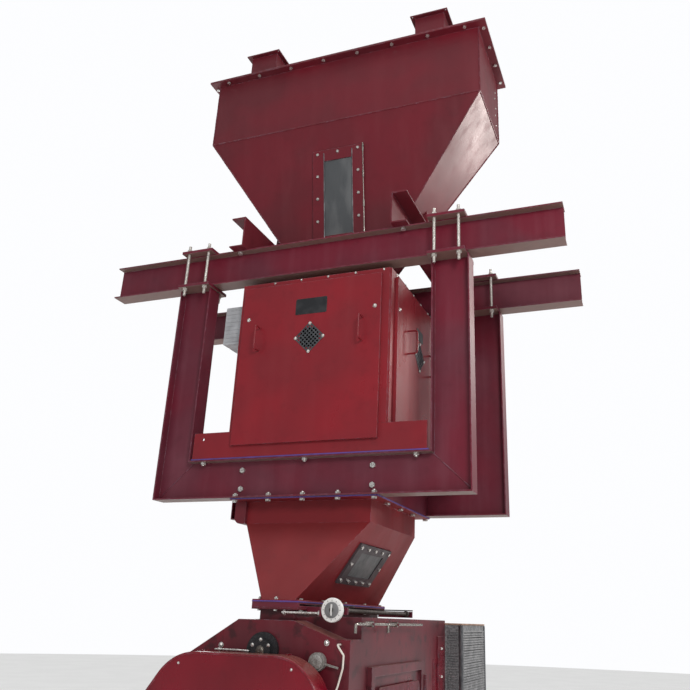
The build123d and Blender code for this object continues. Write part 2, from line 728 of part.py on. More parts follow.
def rotor():
    """Shaft, discs, four hammer pins and four rows of swinging hammers."""
    y0 = sheave_y - sheave_width / 2 - 10
    shaft = cyl_y(0, rotor_z, shaft_r, y0, mill_half_y + 110)
    add("rotor_shaft", shaft)
    gap = disc_pitch - disc_t
    for i in range(disc_count):
        y = (i - (disc_count - 1) / 2) * disc_pitch
        disc = cyl_y(0, rotor_z, disc_r, y - disc_t / 2, y + disc_t / 2)
        last = i == disc_count - 1
        if not last:
            disc = disc + cyl_y(0, rotor_z, shaft_r + 25, y + disc_t / 2, y + disc_t / 2 + gap)
        disc = disc - cyl_y(0, rotor_z, shaft_r, y - disc_pitch, y + disc_pitch)
        for k in range(4):
            px, pz = pin_place(k)
            disc = disc - cyl_y(px, pz, pin_r, y - disc_pitch, y + disc_pitch)
        add("rotor_discs", disc)
    half = (disc_count - 1) / 2 * disc_pitch + disc_t / 2
    for k in range(4):
        px, pz = pin_place(k)
        add("hammer_pins", cyl_y(px, pz, pin_r, -half - 8, half + 8))
        for i in range(disc_count - 1):
            y = (i - (disc_count - 2) / 2) * disc_pitch + (k % 2) * 24 - 12
            add(f"hammers_{k + 1}", hammer(k, y))


def pin_place(k):
    angle = math.radians(45 + 90 * k)
    return pin_circle * math.cos(angle), rotor_z + pin_circle * math.sin(angle)


def hammer(k, y):
    body = block(-28, hammer_reach, y - hammer_t / 2, y + hammer_t / 2, -hammer_width / 2, hammer_width / 2)
    body = body - cyl_y(0, 0, pin_r + running, y - hammer_t, y + hammer_t)
    px, pz = pin_place(k)
    return Pos(px, 0, pz) * Rot(0, -(45 + 90 * k), 0) * body


def feed_roll():
    half = throat_half_y - 12
    roll = cyl_y(0, feed_z, 38, -half, half)
    roll = roll + cyl_y(0, feed_z, feed_shaft_r, -mill_half_y - 34, mill_half_y + 50)
    for i in range(6):
        vane = block(30, feed_roll_r, -half, half, -3, 3)
        roll = roll + Pos(0, 0, feed_z) * Rot(0, 60 * i, 0) * vane
    add("feed_roll", roll)


def flange_bearing(x, z, y, side, r, bore):
    """Round cartridge bearing bolted to an end wall, facing outward."""
    place = facing(x, y, z, (0, side, 0))
    body = Pos(0, 0, 8) * Cylinder(r, 16) + Pos(0, 0, 16) * Cylinder(r * 0.62, 32)
    body = body - Pos(0, 0, 16) * Cylinder(bore + running, 40)
    return place * body


def bearings():
    add("mill_bearings", flange_bearing(0, feed_z, -mill_half_y, -1, 74, feed_shaft_r))
    add("mill_bearings", flange_bearing(0, feed_z, mill_half_y, 1, 74, feed_shaft_r))
    add("mill_bearings", flange_bearing(0, rotor_z, -mill_half_y, -1, 115, shaft_r))
    add("mill_bearings", flange_bearing(0, rotor_z, mill_half_y, 1, 115, shaft_r))
    case = block(-70, 70, mill_half_y + 50 + seat, mill_tail_y - mill_wall, feed_z - 70, feed_z + 60)
    add("gearmotors", case)


def flow_director():
    """Flap under the inlet that turns the stream to the rotor's down-going side."""
    shaft = cyl_y(director_x, director_z, director_r, -mill_half_y - 30, 560)
    hub = cyl_y(director_x, director_z, 36, -mill_half_y - 26, -mill_half_y - seat)
    flap = block(-96, -8, -560, 560, -3, 3)
    lever = block(30, 96, -mill_half_y - 18, -mill_half_y - 10, -4, 4)
    moving = Pos(director_x, 0, director_z) * Rot(0, 12, 0) * (flap + lever)
    add("flow_director", shaft + hub + moving)


def mill_doors():
    """Side doors on vertical hinge pins at their rear edges."""
    for side, name in ((1, "right_mill_door"), (-1, "left_mill_door")):
        def slab(xa, xb, ya, yb, za, zb):
            return block(min(side * xa, side * xb), max(side * xa, side * xb), ya, yb, za, zb)
        x0 = mill_half_x + door_gap
        door = slab(x0, x0 + mill_door_t, door_y0, door_y1, mill_door_z0, mill_door_z1)
        door = door - slab(x0 + 8, x0 + mill_door_t + 1, door_y0 + 40, door_y1 - 40,
                           mill_door_z0 + 40, mill_door_z1 - 40)
        pin_x = x0 + mill_door_t
        pin_y = door_y1 + 14
        for z in (mill_door_z0 + 90, mill_door_z1 - 150):
            ear = slab(x0 + 4, pin_x + 6, door_y1 - 1, pin_y, z, z + 60)
            barrel = cyl_z(side * pin_x, pin_y, 11, z, z + 60)
            door = door + ear + barrel
            door = door - cyl_z(side * pin_x, pin_y, 6 + running, z - 1, z + 61)
            bracket = slab(mill_half_x, pin_x, pin_y + 13, pin_y + 40, z - 24, z + 84)
            for za in (z - 24, z + 61):
                bracket = bracket + slab(mill_half_x, pin_x, pin_y - 11, pin_y + 20, za, za + 23)
                bracket = bracket + cyl_z(side * pin_x, pin_y, 11, za, za + 23)
            bracket = bracket + cyl_z(side * pin_x, pin_y, 6, z - 24, z + 84)
            nodes["mill_housing"][0] = nodes["mill_housing"][0] + bracket
        add(name, door)


def hatch_handles():
    """Bent-rod cam handles on the plenum's side, each turning on a fixed boss."""
    z = plenum_z - 26
    handles = (("hatch_handle_front", -492, 160, 225), ("hatch_handle_rear", -160, 88, 426))
    # the rods sweep just outside the mill door
    rod_x = mill_half_x + door_gap + mill_door_t + latch_gap + latch_rod_r
    for name, y0, ahead, behind in handles:
        boss = cyl_x(y0, z, 9, mill_half_x, mill_half_x + 10)
        pin = cyl_x(y0, z, 5, mill_half_x, rod_x + 18)
        nodes["mill_housing"][0] = nodes["mill_housing"][0] + boss + pin
        hub = cyl_x(y0, z, 12, mill_half_x + 11, rod_x + 11)
        rod = cyl_y(rod_x, z, latch_rod_r, y0 - ahead, y0 + behind)
        add(name, hub + rod - cyl_x(y0, z, 5 + running, mill_half_x, rod_x + 30))


def intake_box():
    """Louvred air intake behind the drive end, open towards the casing."""
    x0, x1 = 140, 500
    y0, y1 = mill_tail_y, 1440
    z0, z1 = 1050, 1578
    box = block(x0, x1, y0, y1, z0, z1) - block(x0 + 4, x1 - 4, y0 + 4, y1 - 4, z0 + 4, z1 - 4)
    for i in range(14):
        z = z0 + 40 + i * 34
        box = box - block(x1 - 5, x1 + 1, y0 + 60, y1 - 60, z, z + 12)
    add("intake_box", box)


# ---- drive ----
def sheave(x, z, r, bore):
    wheel = cyl_y(x, z, r, sheave_y - sheave_width / 2, sheave_y + sheave_width / 2)
    groove = cyl_y(x, z, r + 1, sheave_y - sheave_width / 2 + 8, sheave_y + sheave_width / 2 - 8)
    groove = groove - cyl_y(x, z, r - 14, sheave_y - sheave_width, sheave_y + sheave_width)
    return wheel - groove - cyl_y(x, z, bore, sheave_y - sheave_width, sheave_y + sheave_width)


def drive():
    """Motor, sheaves, V-belts and their guard."""
    add("rotor_sheave", sheave(0, rotor_z, rotor_sheave_r, shaft_r))
    shaft_y = motor_y0 - running
    shaft = cyl_y(motor_x, motor_z, motor_shaft_r, sheave_y - sheave_width / 2 - 6, motor_y0 + 60)
    add("motor_sheave", sheave(motor_x, motor_z, motor_sheave_r, motor_shaft_r))
    add("motor_shaft", shaft)
    half = sheave_width / 2 - 9
    inner_a = rotor_sheave_r - 14 + seat
    inner_b = motor_sheave_r - 14 + seat
    for i in range(3):
        step = 2 * half / 3
        y = sheave_y - half + i * step
        loop = belt_outline(inner_a + belt_t, inner_b + belt_t, y, step - 2)
        add("v_belts", loop - belt_outline(inner_a, inner_b, y - 1, step))
    body = cyl_y(motor_x, motor_z, motor_r, motor_y0, motor_y0 + motor_length)
    body = body + block(motor_x - 150, motor_x + 150, motor_y0 + 80, motor_y0 + motor_length - 80,
                        motor_z - motor_r - 20, motor_z - 100)
    body = body + block(motor_x - 235, motor_x - 140, motor_y0 + 160, motor_y0 + 340,
                        motor_z - 60, motor_z + 90)
    body = body - cyl_y(motor_x, motor_z, motor_shaft_r + running, motor_y0 - 1, motor_y0 + 60 + running)
    add("main_motor", body)
    add("belt_guard", guard())


def belt_outline(ra, rb, y, width):
    """Hull of the two sheave circles, as a solid of the given width."""
    plane = Plane(origin=(0, y, 0), x_dir=(1, 0, 0), z_dir=(0, -1, 0))
    circles = [Pos(0, rotor_z) * Circle(ra), Pos(motor_x, motor_z) * Circle(rb)]
    edges = [edge for circle in circles for edge in circle.edges()]
    return extrude(plane * make_hull(edges), amount=width, dir=(0, 1, 0))


def guard_outline(inset, y, depth):
    lobes = ((-241, 1231, 215), (130, 1231, 215), (40, 960, 200), (motor_x, motor_z, 190))
    plane = Plane(origin=(0, y, 0), x_dir=(1, 0, 0), z_dir=(0, -1, 0))
    edges = [edge for x, z, r in lobes for edge in (Pos(x, z) * Circle(r - inset)).edges()]
    return extrude(plane * make_hull(edges), amount=depth, dir=(0, 1, 0))


def guard():
    """Sheet-metal belt guard, open at the back except for a rim, on two brackets."""
    y1 = guard_y0 + guard_depth
    shell = guard_outline(0, guard_y0, guard_depth)
    shell = shell - guard_outline(guard_wall, guard_y0 + guard_wall, guard_depth)
    for x, z in ((-250, 1380), (150, 1380)):
        bracket = block(x - 20, x + 20, y1 - 40, -mill_half_y, z, z + 8)
        shell = shell + (bracket - guard_outline(guard_wall, guard_y0, guard_depth + 60)
                         + block(x - 20, x + 20, y1 - 6, -mill_half_y, z, z + 8))
        shell = shell + block(x - 6, x + 6, y1 - 40, y1, z, z + 70)
    return shell


def motor_stand():
    x0, x1 = motor_x - 160, motor_x + 160
    y0, y1 = motor_y0 + 60, motor_y0 + motor_length - 60
    z1 = motor_z - motor_r - 20
    stand = block(x0, x1, y0, y1, 0, z1) - block(x0 + 8, x1 - 8, y0 + 8, y1 - 8, -1, z1 - 12)
    stand = stand - block(x0 - 1, x1 + 1, y0 + 60, y1 - 60, 80, z1 - 70)
    for y in (y0 + 60, y1 - 120):
        stand = stand + block(x1 - 1, -leg_x - leg_half, y, y + 60, 40, 80)
    add("base_frame", stand)


# ---- base ----
def base():
    z1 = housing_foot_z - 12
    frame = None
    for sx in (-1, 1):
        for sy in (-1, 1):
            x = sx * leg_x
            y = sy * leg_y
            leg = block(x - leg_half, x + leg_half, y - leg_half, y + leg_half, 0, z1)
            bx = sx * (leg_x + anchor_out)
            by = sy * (leg_y + anchor_out)
            plate = block(x - base_plate_half, x + base_plate_half, y - base_plate_half,
                          y + base_plate_half, 0, base_plate_t)
            leg = leg + plate
            leg = leg - cyl_z(bx, by, anchor_r, -1, base_plate_t + 1)
            frame = leg if frame is None else frame + leg
    for z in (120, z1 - rail_h):
        for sx in (-1, 1):
            x = sx * leg_x
            frame = frame + block(x - rail_half, x + rail_half, -leg_y, leg_y, z, z + rail_h)
    for sy in (-1, 1):
        y = sy * leg_y
        frame = frame + block(-leg_x, leg_x, y - rail_half, y + rail_half, z1 - rail_h, z1)
    add("base_frame", frame)
    rim_x = leg_x - rail_half
    rim_y = leg_y - leg_half - 2
    opening = frustum(260, (150, 260, 0), z1 - 80, (300, 520, 0))
    inner = frustum(260, (144, 254, 0), z1 - 80, (294, 514, 0))
    hopper = opening + block(-300, 300, -520, 520, z1 - 80, z1) - block(-294, 294, -514, 514, z1 - 80, z1 + 1)
    hopper = hopper + block(-190, 190, -300, 300, 252, 260)
    hopper = hopper + block(-rim_x, rim_x, -rim_y, rim_y, z1 - 10, z1)
    hopper = hopper - inner - block(-144, 144, -254, 254, 250, 261)
    hopper = hopper - block(-294, 294, -514, 514, z1 - 11, z1 + 1)
    for x in (-168, 168):
        for y in (-278, 278):
            hopper = hopper - cyl_z(x, y, 6, 250, 262)
    add("discharge_hopper", hopper)


def grease_hose():
    """Grease line along the front wall, from a fitting to the shoulder."""
    y = -mill_half_y - 24
    points = [(356, -mill_half_y, 1492), (356, y - 12, 1492), (384, y - 4, 1452), (382, y - 4, 1404),
              (366, y - 8, 1340), (352, y - 10, 1300), (352, -mill_half_y, 1300)]
    path = FilletPolyline(*points, radius=9)
    profile = Plane(origin=path @ 0, z_dir=path % 0) * Circle(4)
    add("grease_hose", sweep(profile, path=path))


def structure_bolting(bearer_places):
    bolt_size = 8
    for place in bearer_places:
        add("structure_bolts", *bolt(place, flange_t + bearer_t, bolt_size))
        for key, index in (("beams", 0), ("beams", 1), ("hopper_bearers", 0), ("hopper_bearers", 2)):
            nodes[key][index] = nodes[key][index] - hole(place, flange_t + bearer_t, bolt_size)
    for y, back, key in ((front_y, 1, "hanger_frame_front"), (rear_y, -1, "hanger_frame_rear")):
        for index, side in enumerate((-1, 1)):
            for z in (frame_z + 50, frame_z + 146):
                place = facing(side * (chute_flange_x - 40), y - back * web_t / 2, z, (0, back, 0))
                add("structure_bolts", *bolt(place, web_t + 8, bolt_size))
                cut = hole(place, web_t + 8, bolt_size)
                nodes[key][0] = nodes[key][0] - cut
                nodes["cross_channels"][index] = nodes["cross_channels"][index] - cut
        for x in (-590, 0, 590):
            place = facing(x, y - back * 28, pan_top, (0, 0, -1))
            add("structure_bolts", *stud(place, flange_t + pan_t, bolt_size))
            cut = hole(place, flange_t + pan_t, bolt_size)
            nodes[key][0] = nodes[key][0] - cut
            nodes["base_pan"][0] = nodes["base_pan"][0] - cut


def write():
    os.makedirs("parts", exist_ok=True)
    for name, solids in nodes.items():
        pieces = [solid for shape in solids for solid in shape.solids()]
        whole = pieces[0] if len(pieces) == 1 else Compound(children=pieces)
        export_step(whole, f"parts/{name}.step")
    print(len(nodes), "nodes")


def main():
    add("hanger_frame_front", hanger_frame(front_y))
    add("hanger_frame_rear", hanger_frame(rear_y))
    add("beams", beam(front_y), beam(rear_y))
    clamps()
    cross_channels()
    hopper()
    bearer_places = bearers()
    hopper_window()
    cabinet()
    doors()
    feeder()
    control_box()
    chute()
    gate()
    housing()
    screen()
    rotor()
    feed_roll()
    bearings()
    flow_director()
    mill_doors()
    hatch_handles()
    intake_box()
    drive()
    base()
    motor_stand()
    grease_hose()
    chute_bolting()
    structure_bolting(bearer_places)
    write()


main()
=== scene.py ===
import math

import bmesh
import bpy
import numpy as np
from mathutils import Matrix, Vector


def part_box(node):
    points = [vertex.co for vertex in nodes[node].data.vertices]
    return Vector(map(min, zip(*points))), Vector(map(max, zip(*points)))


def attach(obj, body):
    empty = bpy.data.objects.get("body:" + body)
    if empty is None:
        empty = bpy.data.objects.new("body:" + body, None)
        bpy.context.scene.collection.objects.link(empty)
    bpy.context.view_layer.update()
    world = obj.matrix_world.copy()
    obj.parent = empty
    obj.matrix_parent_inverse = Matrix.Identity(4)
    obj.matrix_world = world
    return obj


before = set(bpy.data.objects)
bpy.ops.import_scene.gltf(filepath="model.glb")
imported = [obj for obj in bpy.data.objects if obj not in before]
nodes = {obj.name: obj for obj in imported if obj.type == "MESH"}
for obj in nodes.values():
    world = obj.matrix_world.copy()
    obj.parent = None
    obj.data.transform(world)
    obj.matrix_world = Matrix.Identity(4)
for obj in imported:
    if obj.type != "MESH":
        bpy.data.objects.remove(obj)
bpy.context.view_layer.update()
print("frame loaded,", len(nodes), "nodes")


def hexColour(code):
    # sRGB hex to linear, with the exact curve for dark values
    srgb = np.array([int(code[i:i + 2], 16) for i in (1, 3, 5)]) / 255
    linear = np.where(srgb <= 0.04045, srgb / 12.92, ((srgb + 0.055) / 1.055) ** 2.4)
    return (*linear.tolist(), 1.0)


def addNode(tree, kind, settings=None, inputs=None):
    node = tree.nodes.new(kind)
    for name, value in (settings or {}).items():
        setattr(node, name, value)
    for name, value in (inputs or {}).items():
        socket = node.inputs[name]
        if isinstance(value, bpy.types.NodeSocket):
            tree.links.new(value, socket)
        else:
            socket.default_value = value
    return node


def newMaterial(name):
    material = bpy.data.materials.new(name)
    material.use_nodes = True
    tree = material.node_tree
    tree.nodes.clear()
    shader = addNode(tree, "ShaderNodeBsdfPrincipled")
    output = addNode(tree, "ShaderNodeOutputMaterial")
    tree.links.new(shader.outputs[0], output.inputs[0])
    place = addNode(tree, "ShaderNodeTexCoord").outputs["Object"]
    return material, tree, shader, place


def noise(tree, place, sizeMm, detail=3.0, stretch=(1, 1, 1), low=0.4, high=0.6):
    # a noise whose lumps are sizeMm wide, opened up to run from 0 to 1
    scaled = addNode(tree, "ShaderNodeMapping", None, {"Vector": place, "Scale": stretch})
    pattern = addNode(tree, "ShaderNodeTexNoise", None,
                      {"Vector": scaled.outputs[0], "Scale": 1000 / sizeMm, "Detail": detail})
    spread = addNode(tree, "ShaderNodeMapRange", None,
                     {"Value": pattern.outputs[0], "From Min": low, "From Max": high})
    return spread.outputs[0]


def blendColour(tree, factor, first, second):
    mix = addNode(tree, "ShaderNodeMix", {"data_type": "RGBA"})
    for socket, value in ((mix.inputs[0], factor), (mix.inputs[6], first), (mix.inputs[7], second)):
        if isinstance(value, bpy.types.NodeSocket):
            tree.links.new(value, socket)
        else:
            socket.default_value = value
    return mix.outputs[2]


def edgeMask(tree, place, radiusMm, patchMm):
    # edges, where the rounded normal leaves the true one, broken up in patches
    rounded = addNode(tree, "ShaderNodeBevel", {"samples": 4}, {"Radius": radiusMm / 1000})
    true = addNode(tree, "ShaderNodeNewGeometry").outputs["True Normal"]
    agree = addNode(tree, "ShaderNodeVectorMath", {"operation": "DOT_PRODUCT"},
                    {0: rounded.outputs[0], 1: true})
    edge = addNode(tree, "ShaderNodeMapRange", None,
                   {"Value": agree.outputs["Value"], "From Min": 0.995, "From Max": 0.86})
    patch = noise(tree, place, patchMm, 4, low=0.45, high=0.62)
    mask = addNode(tree, "ShaderNodeMath", {"operation": "MULTIPLY"}, {0: edge.outputs[0], 1: patch})
    return mask.outputs[0], rounded.outputs[0]


def enamel(name, base, deep, haze, roughness, hazeAmount=0.3, wear="#8D7788", peelMm=5.0,
           undersideReflection=0.0, grime=0.08):
    # air-dried alkyd enamel sprayed on rolled steel: glossy, slight orange peel, uneven film thickness,
    # a dusty bloom that runs down it, grime in spots, dust settled on upward faces, a painted reflection in
    # brownish grey on downward faces, and cooler worn paint along the edges, partly a painted glint
    material, tree, shader, place = newMaterial(name)
    film = noise(tree, place, 420, 2)
    colour = blendColour(tree, film, hexColour(base), hexColour(deep))
    runs = noise(tree, place, 70, 4, stretch=(1, 1, 0.08), low=0.48, high=0.8)
    cloud = noise(tree, place, 420, 4, low=0.4, high=0.85)
    bloom = addNode(tree, "ShaderNodeMath", {"operation": "MULTIPLY_ADD"}, {0: runs, 1: 0.5, 2: cloud})
    bloomAmount = addNode(tree, "ShaderNodeMath", {"operation": "MULTIPLY"},
                          {0: bloom.outputs[0], 1: hazeAmount})
    colour = blendColour(tree, bloomAmount.outputs[0], colour, hexColour(haze))
    facing = addNode(tree, "ShaderNodeSeparateXYZ", None,
                     {0: addNode(tree, "ShaderNodeNewGeometry").outputs["Normal"]})
    settled = addNode(tree, "ShaderNodeMapRange", None, {"Value": facing.outputs[2], "From Min": 0.5,
                                                         "From Max": 1.0, "To Max": 0.45})
    colour = blendColour(tree, settled.outputs[0], colour, hexColour("#8C6E62"))
    # downward faces turn brownish grey: a painted reflection on the glossy paint
    below = addNode(tree, "ShaderNodeMapRange", None, {"Value": facing.outputs[2], "From Min": -0.9,
                                                       "From Max": -1.0, "To Max": undersideReflection})
    colour = blendColour(tree, below.outputs[0], colour, hexColour("#7C6A60"))
    spots = noise(tree, place, 55, 7, low=0.56, high=0.68)
    soiled = addNode(tree, "ShaderNodeMath", {"operation": "MULTIPLY"}, {0: spots, 1: grime})
    colour = blendColour(tree, soiled.outputs[0], colour, hexColour("#241316"))
    # paler, cooler edge colour: worn paint, partly a painted glint along the edges
    mask, rounded = edgeMask(tree, place, 3.5, 30)
    wornAndGlint = addNode(tree, "ShaderNodeMath", {"operation": "MULTIPLY"}, {0: mask, 1: 0.75})
    colour = blendColour(tree, wornAndGlint.outputs[0], colour, hexColour(wear))
    tree.links.new(colour, shader.inputs["Base Color"])
    dull = addNode(tree, "ShaderNodeMapRange", None, {"Value": bloom.outputs[0], "To Min": roughness,
                                                      "To Max": roughness + 0.2})
    tree.links.new(dull.outputs[0], shader.inputs["Roughness"])
    shader.inputs["IOR"].default_value = 1.5
    shader.inputs["Specular IOR Level"].default_value = 0.36
    peel = noise(tree, place, peelMm, 2, low=0.3, high=0.7)
    sheet = noise(tree, place, 330, 1, low=0.3, high=0.7)
    buckled = addNode(tree, "ShaderNodeBump", None, {"Height": sheet, "Strength": 0.16, "Distance": 0.003,
                                                     "Normal": rounded})
    bumped = addNode(tree, "ShaderNodeBump", None, {"Height": peel, "Strength": 0.25, "Distance": 0.0005,
                                                    "Normal": buckled.outputs[0]})
    tree.links.new(bumped.outputs[0], shader.inputs["Normal"])
    return material


def metal(name, bright, dark, roughness, grainMm, stretch=(1, 1, 1), bumpMm=0.15, metallic=1.0,
          threadMm=0.0):
    # bare or plated steel and iron: grain along the way it was worked, duller patches from handling;
    # threadMm adds a thread's ridges up the Z axis, drawn coarser than an M16 pitch so that they show
    material, tree, shader, place = newMaterial(name)
    grain = noise(tree, place, grainMm, 5, stretch=stretch)
    stain = noise(tree, place, grainMm * 9, 4)
    colour = blendColour(tree, grain, hexColour(bright), hexColour(dark))
    dulled = addNode(tree, "ShaderNodeMath", {"operation": "MULTIPLY"}, {0: stain, 1: 0.4})
    colour = blendColour(tree, dulled.outputs[0], colour, hexColour(dark))
    tree.links.new(colour, shader.inputs["Base Color"])
    shader.inputs["Metallic"].default_value = metallic
    rough = addNode(tree, "ShaderNodeMapRange", None, {"Value": stain, "To Min": roughness,
                                                       "To Max": roughness + 0.22})
    tree.links.new(rough.outputs[0], shader.inputs["Roughness"])
    rounded = addNode(tree, "ShaderNodeBevel", {"samples": 4}, {"Radius": 0.001})
    normal = rounded.outputs[0]
    if threadMm:
        ridges = addNode(tree, "ShaderNodeTexWave", {"bands_direction": "Z"},
                         {"Vector": place, "Scale": 1000 / threadMm / 20 * math.pi})
        normal = addNode(tree, "ShaderNodeBump", None, {"Height": ridges.outputs["Fac"], "Strength": 0.9,
                                                        "Distance": 0.0015, "Normal": normal}).outputs[0]
    bumped = addNode(tree, "ShaderNodeBump", None, {"Height": grain, "Strength": 0.4,
                                                    "Distance": bumpMm / 1000, "Normal": normal})
    tree.links.new(bumped.outputs[0], shader.inputs["Normal"])
    return material


def moulded(name, base, dark, roughness, grainMm=2.0, bumpMm=0.1):
    # moulded plastic, rubber or baked lacquer: fine even grain, faint dirt
    material, tree, shader, place = newMaterial(name)
    dirt = noise(tree, place, 70, 5, low=0.42, high=0.72)
    dirtAmount = addNode(tree, "ShaderNodeMath", {"operation": "MULTIPLY"}, {0: dirt, 1: 0.6})
    tree.links.new(blendColour(tree, dirtAmount.outputs[0], hexColour(base), hexColour(dark)),
                   shader.inputs["Base Color"])
    rough = addNode(tree, "ShaderNodeMapRange", None, {"Value": dirt, "To Min": roughness,
                                                       "To Max": min(1, roughness + 0.2)})
    tree.links.new(rough.outputs[0], shader.inputs["Roughness"])
    rounded = addNode(tree, "ShaderNodeBevel", {"samples": 4}, {"Radius": 0.0015})
    grain = noise(tree, place, grainMm, 3, low=0.3, high=0.7)
    bumped = addNode(tree, "ShaderNodeBump", None,
                     {"Height": grain, "Strength": 0.3, "Distance": bumpMm / 1000,
                      "Normal": rounded.outputs[0]})
    tree.links.new(bumped.outputs[0], shader.inputs["Normal"])
    return material


def sightPane(name):
    # polycarbonate pane, scuffed, in two greys that vary in patches; its dark grey is painted shade
    # standing for the unlit inside behind it
    material, tree, shader, place = newMaterial(name)
    film = noise(tree, place, 120, 4, stretch=(1, 1, 0.35))
    tree.links.new(blendColour(tree, film, hexColour("#4A4D50"), hexColour("#626466")),
                   shader.inputs["Base Color"])
    scuffs = noise(tree, place, 25, 6, stretch=(1, 1, 0.2))
    rough = addNode(tree, "ShaderNodeMapRange", None, {"Value": scuffs, "To Min": 0.4, "To Max": 0.6})
    tree.links.new(rough.outputs[0], shader.inputs["Roughness"])
    shader.inputs["IOR"].default_value = 1.58
    shader.inputs["Transmission Weight"].default_value = 0.08
    bumped = addNode(tree, "ShaderNodeBump", None, {"Height": film, "Strength": 0.15, "Distance": 0.0006})
    tree.links.new(bumped.outputs[0], shader.inputs["Normal"])
    return material


def perforated(name, holeMm, pitchMm):
    # punched screen plate: round holes on a square pitch, filled with near black as painted shade of the
    # inside seen through them, worn bright between them
    material, tree, shader, place = newMaterial(name)
    dots = addNode(tree, "ShaderNodeTexVoronoi", None,
                   {"Vector": place, "Scale": 1000 / pitchMm, "Randomness": 0.0})
    holeAndShade = addNode(tree, "ShaderNodeMath", {"operation": "LESS_THAN"},
                   {0: dots.outputs["Distance"], 1: holeMm / pitchMm / 2})
    wear = noise(tree, place, 60, 4)
    plate = blendColour(tree, wear, hexColour("#8F8B86"), hexColour("#5D5852"))
    tree.links.new(blendColour(tree, holeAndShade.outputs[0], plate, hexColour("#0B0A0A")),
                   shader.inputs["Base Color"])
    shader.inputs["Metallic"].default_value = 0.85
    shader.inputs["Roughness"].default_value = 0.45
    bumped = addNode(tree, "ShaderNodeBump", {"invert": True}, {"Height": holeAndShade.outputs[0], "Strength": 0.6,
                                                                "Distance": 0.001})
    tree.links.new(bumped.outputs[0], shader.inputs["Normal"])
    return material


# one oxblood enamel in six copies whose base, deep and haze tones differ for the light on each part:
# painted light on the cabinet, chute and guard, painted shade on the hopper, frame and mill
hopperShadedEnamel = enamel("hopper_enamel_painted_shade", "#6A1B27", "#5A1621", "#8A4A50", 0.36, 0.16)
cabinetLitEnamel = enamel("cabinet_enamel_painted_light", "#861E28", "#771A24", "#8E4648", 0.27, 0.14)
chuteLitEnamel = enamel("chute_enamel_painted_light", "#80161F", "#6E1019", "#87393F", 0.5, 0.06)
frameShadedEnamel = enamel("frame_enamel_painted_shade", "#6C1B2D", "#581426", "#8B5562", 0.36, 0.3, undersideReflection=0.7)
millShadedEnamel = enamel("mill_enamel_painted_shade", "#681624", "#4E111D", "#7D5055", 0.26, 0.26, grime=0.6)
guardLitEnamel = enamel("guard_enamel_painted_light", "#780A1E", "#620818", "#8A3A46", 0.24, 0.04, peelMm=7)
zincPlate = metal("zinc_plated_steel", "#FDFCFA", "#A9A59F", 0.2, 6, metallic=0.75)
threadedZinc = metal("threaded_zinc_rod", "#F8F5F0", "#A8A29A", 0.26, 3, metallic=0.6, threadMm=4)
brightSteel = metal("bright_drawn_steel", "#B9B5AF", "#7C7670", 0.25, 2, stretch=(1, 0.15, 1))
wornSteel = metal("worn_hard_steel", "#8B857E", "#4E4843", 0.4, 14, bumpMm=0.6)
darkSteel = metal("oiled_dark_steel", "#6A6561", "#3C3936", 0.42, 10, metallic=0.8, bumpMm=0.3)
greyHub = metal("grey_turned_hub", "#A9A7A5", "#77746F", 0.38, 4, metallic=0.35)
castIron = metal("black_cast_iron", "#3C3C40", "#1D1C1E", 0.42, 2.5, bumpMm=0.5, metallic=0.4)
galvanised = metal("galvanised_sheet", "#75777A", "#5A5C60", 0.38, 12, stretch=(1, 1, 0.4))
louvreGrey = metal("dusty_louvre_steel", "#98999B", "#68696C", 0.5, 9, metallic=0.35, bumpMm=0.3)
greyLacquer = moulded("light_grey_lacquer", "#A9ABAF", "#85868A", 0.35)
motorGrey = moulded("motor_grey_lacquer", "#4B4F54", "#2B2D30", 0.42, 6, 0.3)
dialWhite = moulded("white_dial_plastic", "#E9E8E6", "#BDBBB8", 0.3)
dialGrey = moulded("grey_dial_insert", "#7F7F80", "#535354", 0.4)
hosePlastic = moulded("white_nylon_hose", "#DAD4CB", "#A59C92", 0.35)
blackRubber = moulded("black_rubber", "#1A1A1B", "#2C2A28", 0.6, 3, 0.3)
plateBlack = moulded("black_anodised_plate", "#202124", "#3A3B3E", 0.3)
tanSeal = moulded("tan_foam_seal", "#9A7C6A", "#6C5548", 0.7, 4, 0.5)
# violet strips that stand for a painted glint along joint edges
violetGlint = moulded("violet_painted_glint", "#5A4390", "#3B2D66", 0.38)
darkFrame = moulded("dark_window_frame", "#41373C", "#282124", 0.45)
pane = sightPane("sight_pane_painted_shade")
screenPlate = perforated("punched_screen_plate", 8, 13)
print("finishes made")

finishOf = {
    hopperShadedEnamel: "hopper_shell hopper_lid inlet_collars hopper_bearers window_frames aspiration_hood",
    chuteLitEnamel: "chute",
    cabinetLitEnamel: "cabinet_body cabinet_front_door cabinet_side_door front_door_handles side_door_handles"
                   " base_pan",
    frameShadedEnamel: "hanger_frame_front hanger_frame_rear beams cross_channels clamp_plates gate_frame",
    millShadedEnamel: "mill_housing left_mill_door right_mill_door base_frame discharge_hopper",
    guardLitEnamel: "belt_guard",
    zincPlate: "hopper_bolts chute_bolts structure_bolts",
    darkSteel: "gate_blade gate_shaft",
    greyHub: "flow_director",
    threadedZinc: "hanger_rods",
    brightSteel: "rotor_shaft motor_shaft hatch_handle_front hatch_handle_rear hammer_pins",
    wornSteel: "hammers_1 hammers_2 hammers_3 hammers_4 rotor_discs feed_roll feeder_roll feeder_trough",
    castIron: "mill_bearings feeder_bearings rotor_sheave motor_sheave",
    galvanised: "front_door_vent side_door_vent",
    louvreGrey: "intake_box",
    greyLacquer: "control_box",
    motorGrey: "main_motor gearmotors",
    dialWhite: "gate_dial",
    hosePlastic: "grease_hose",
    blackRubber: "v_belts",
    pane: "sight_glasses",
    screenPlate: "mill_screen",
}
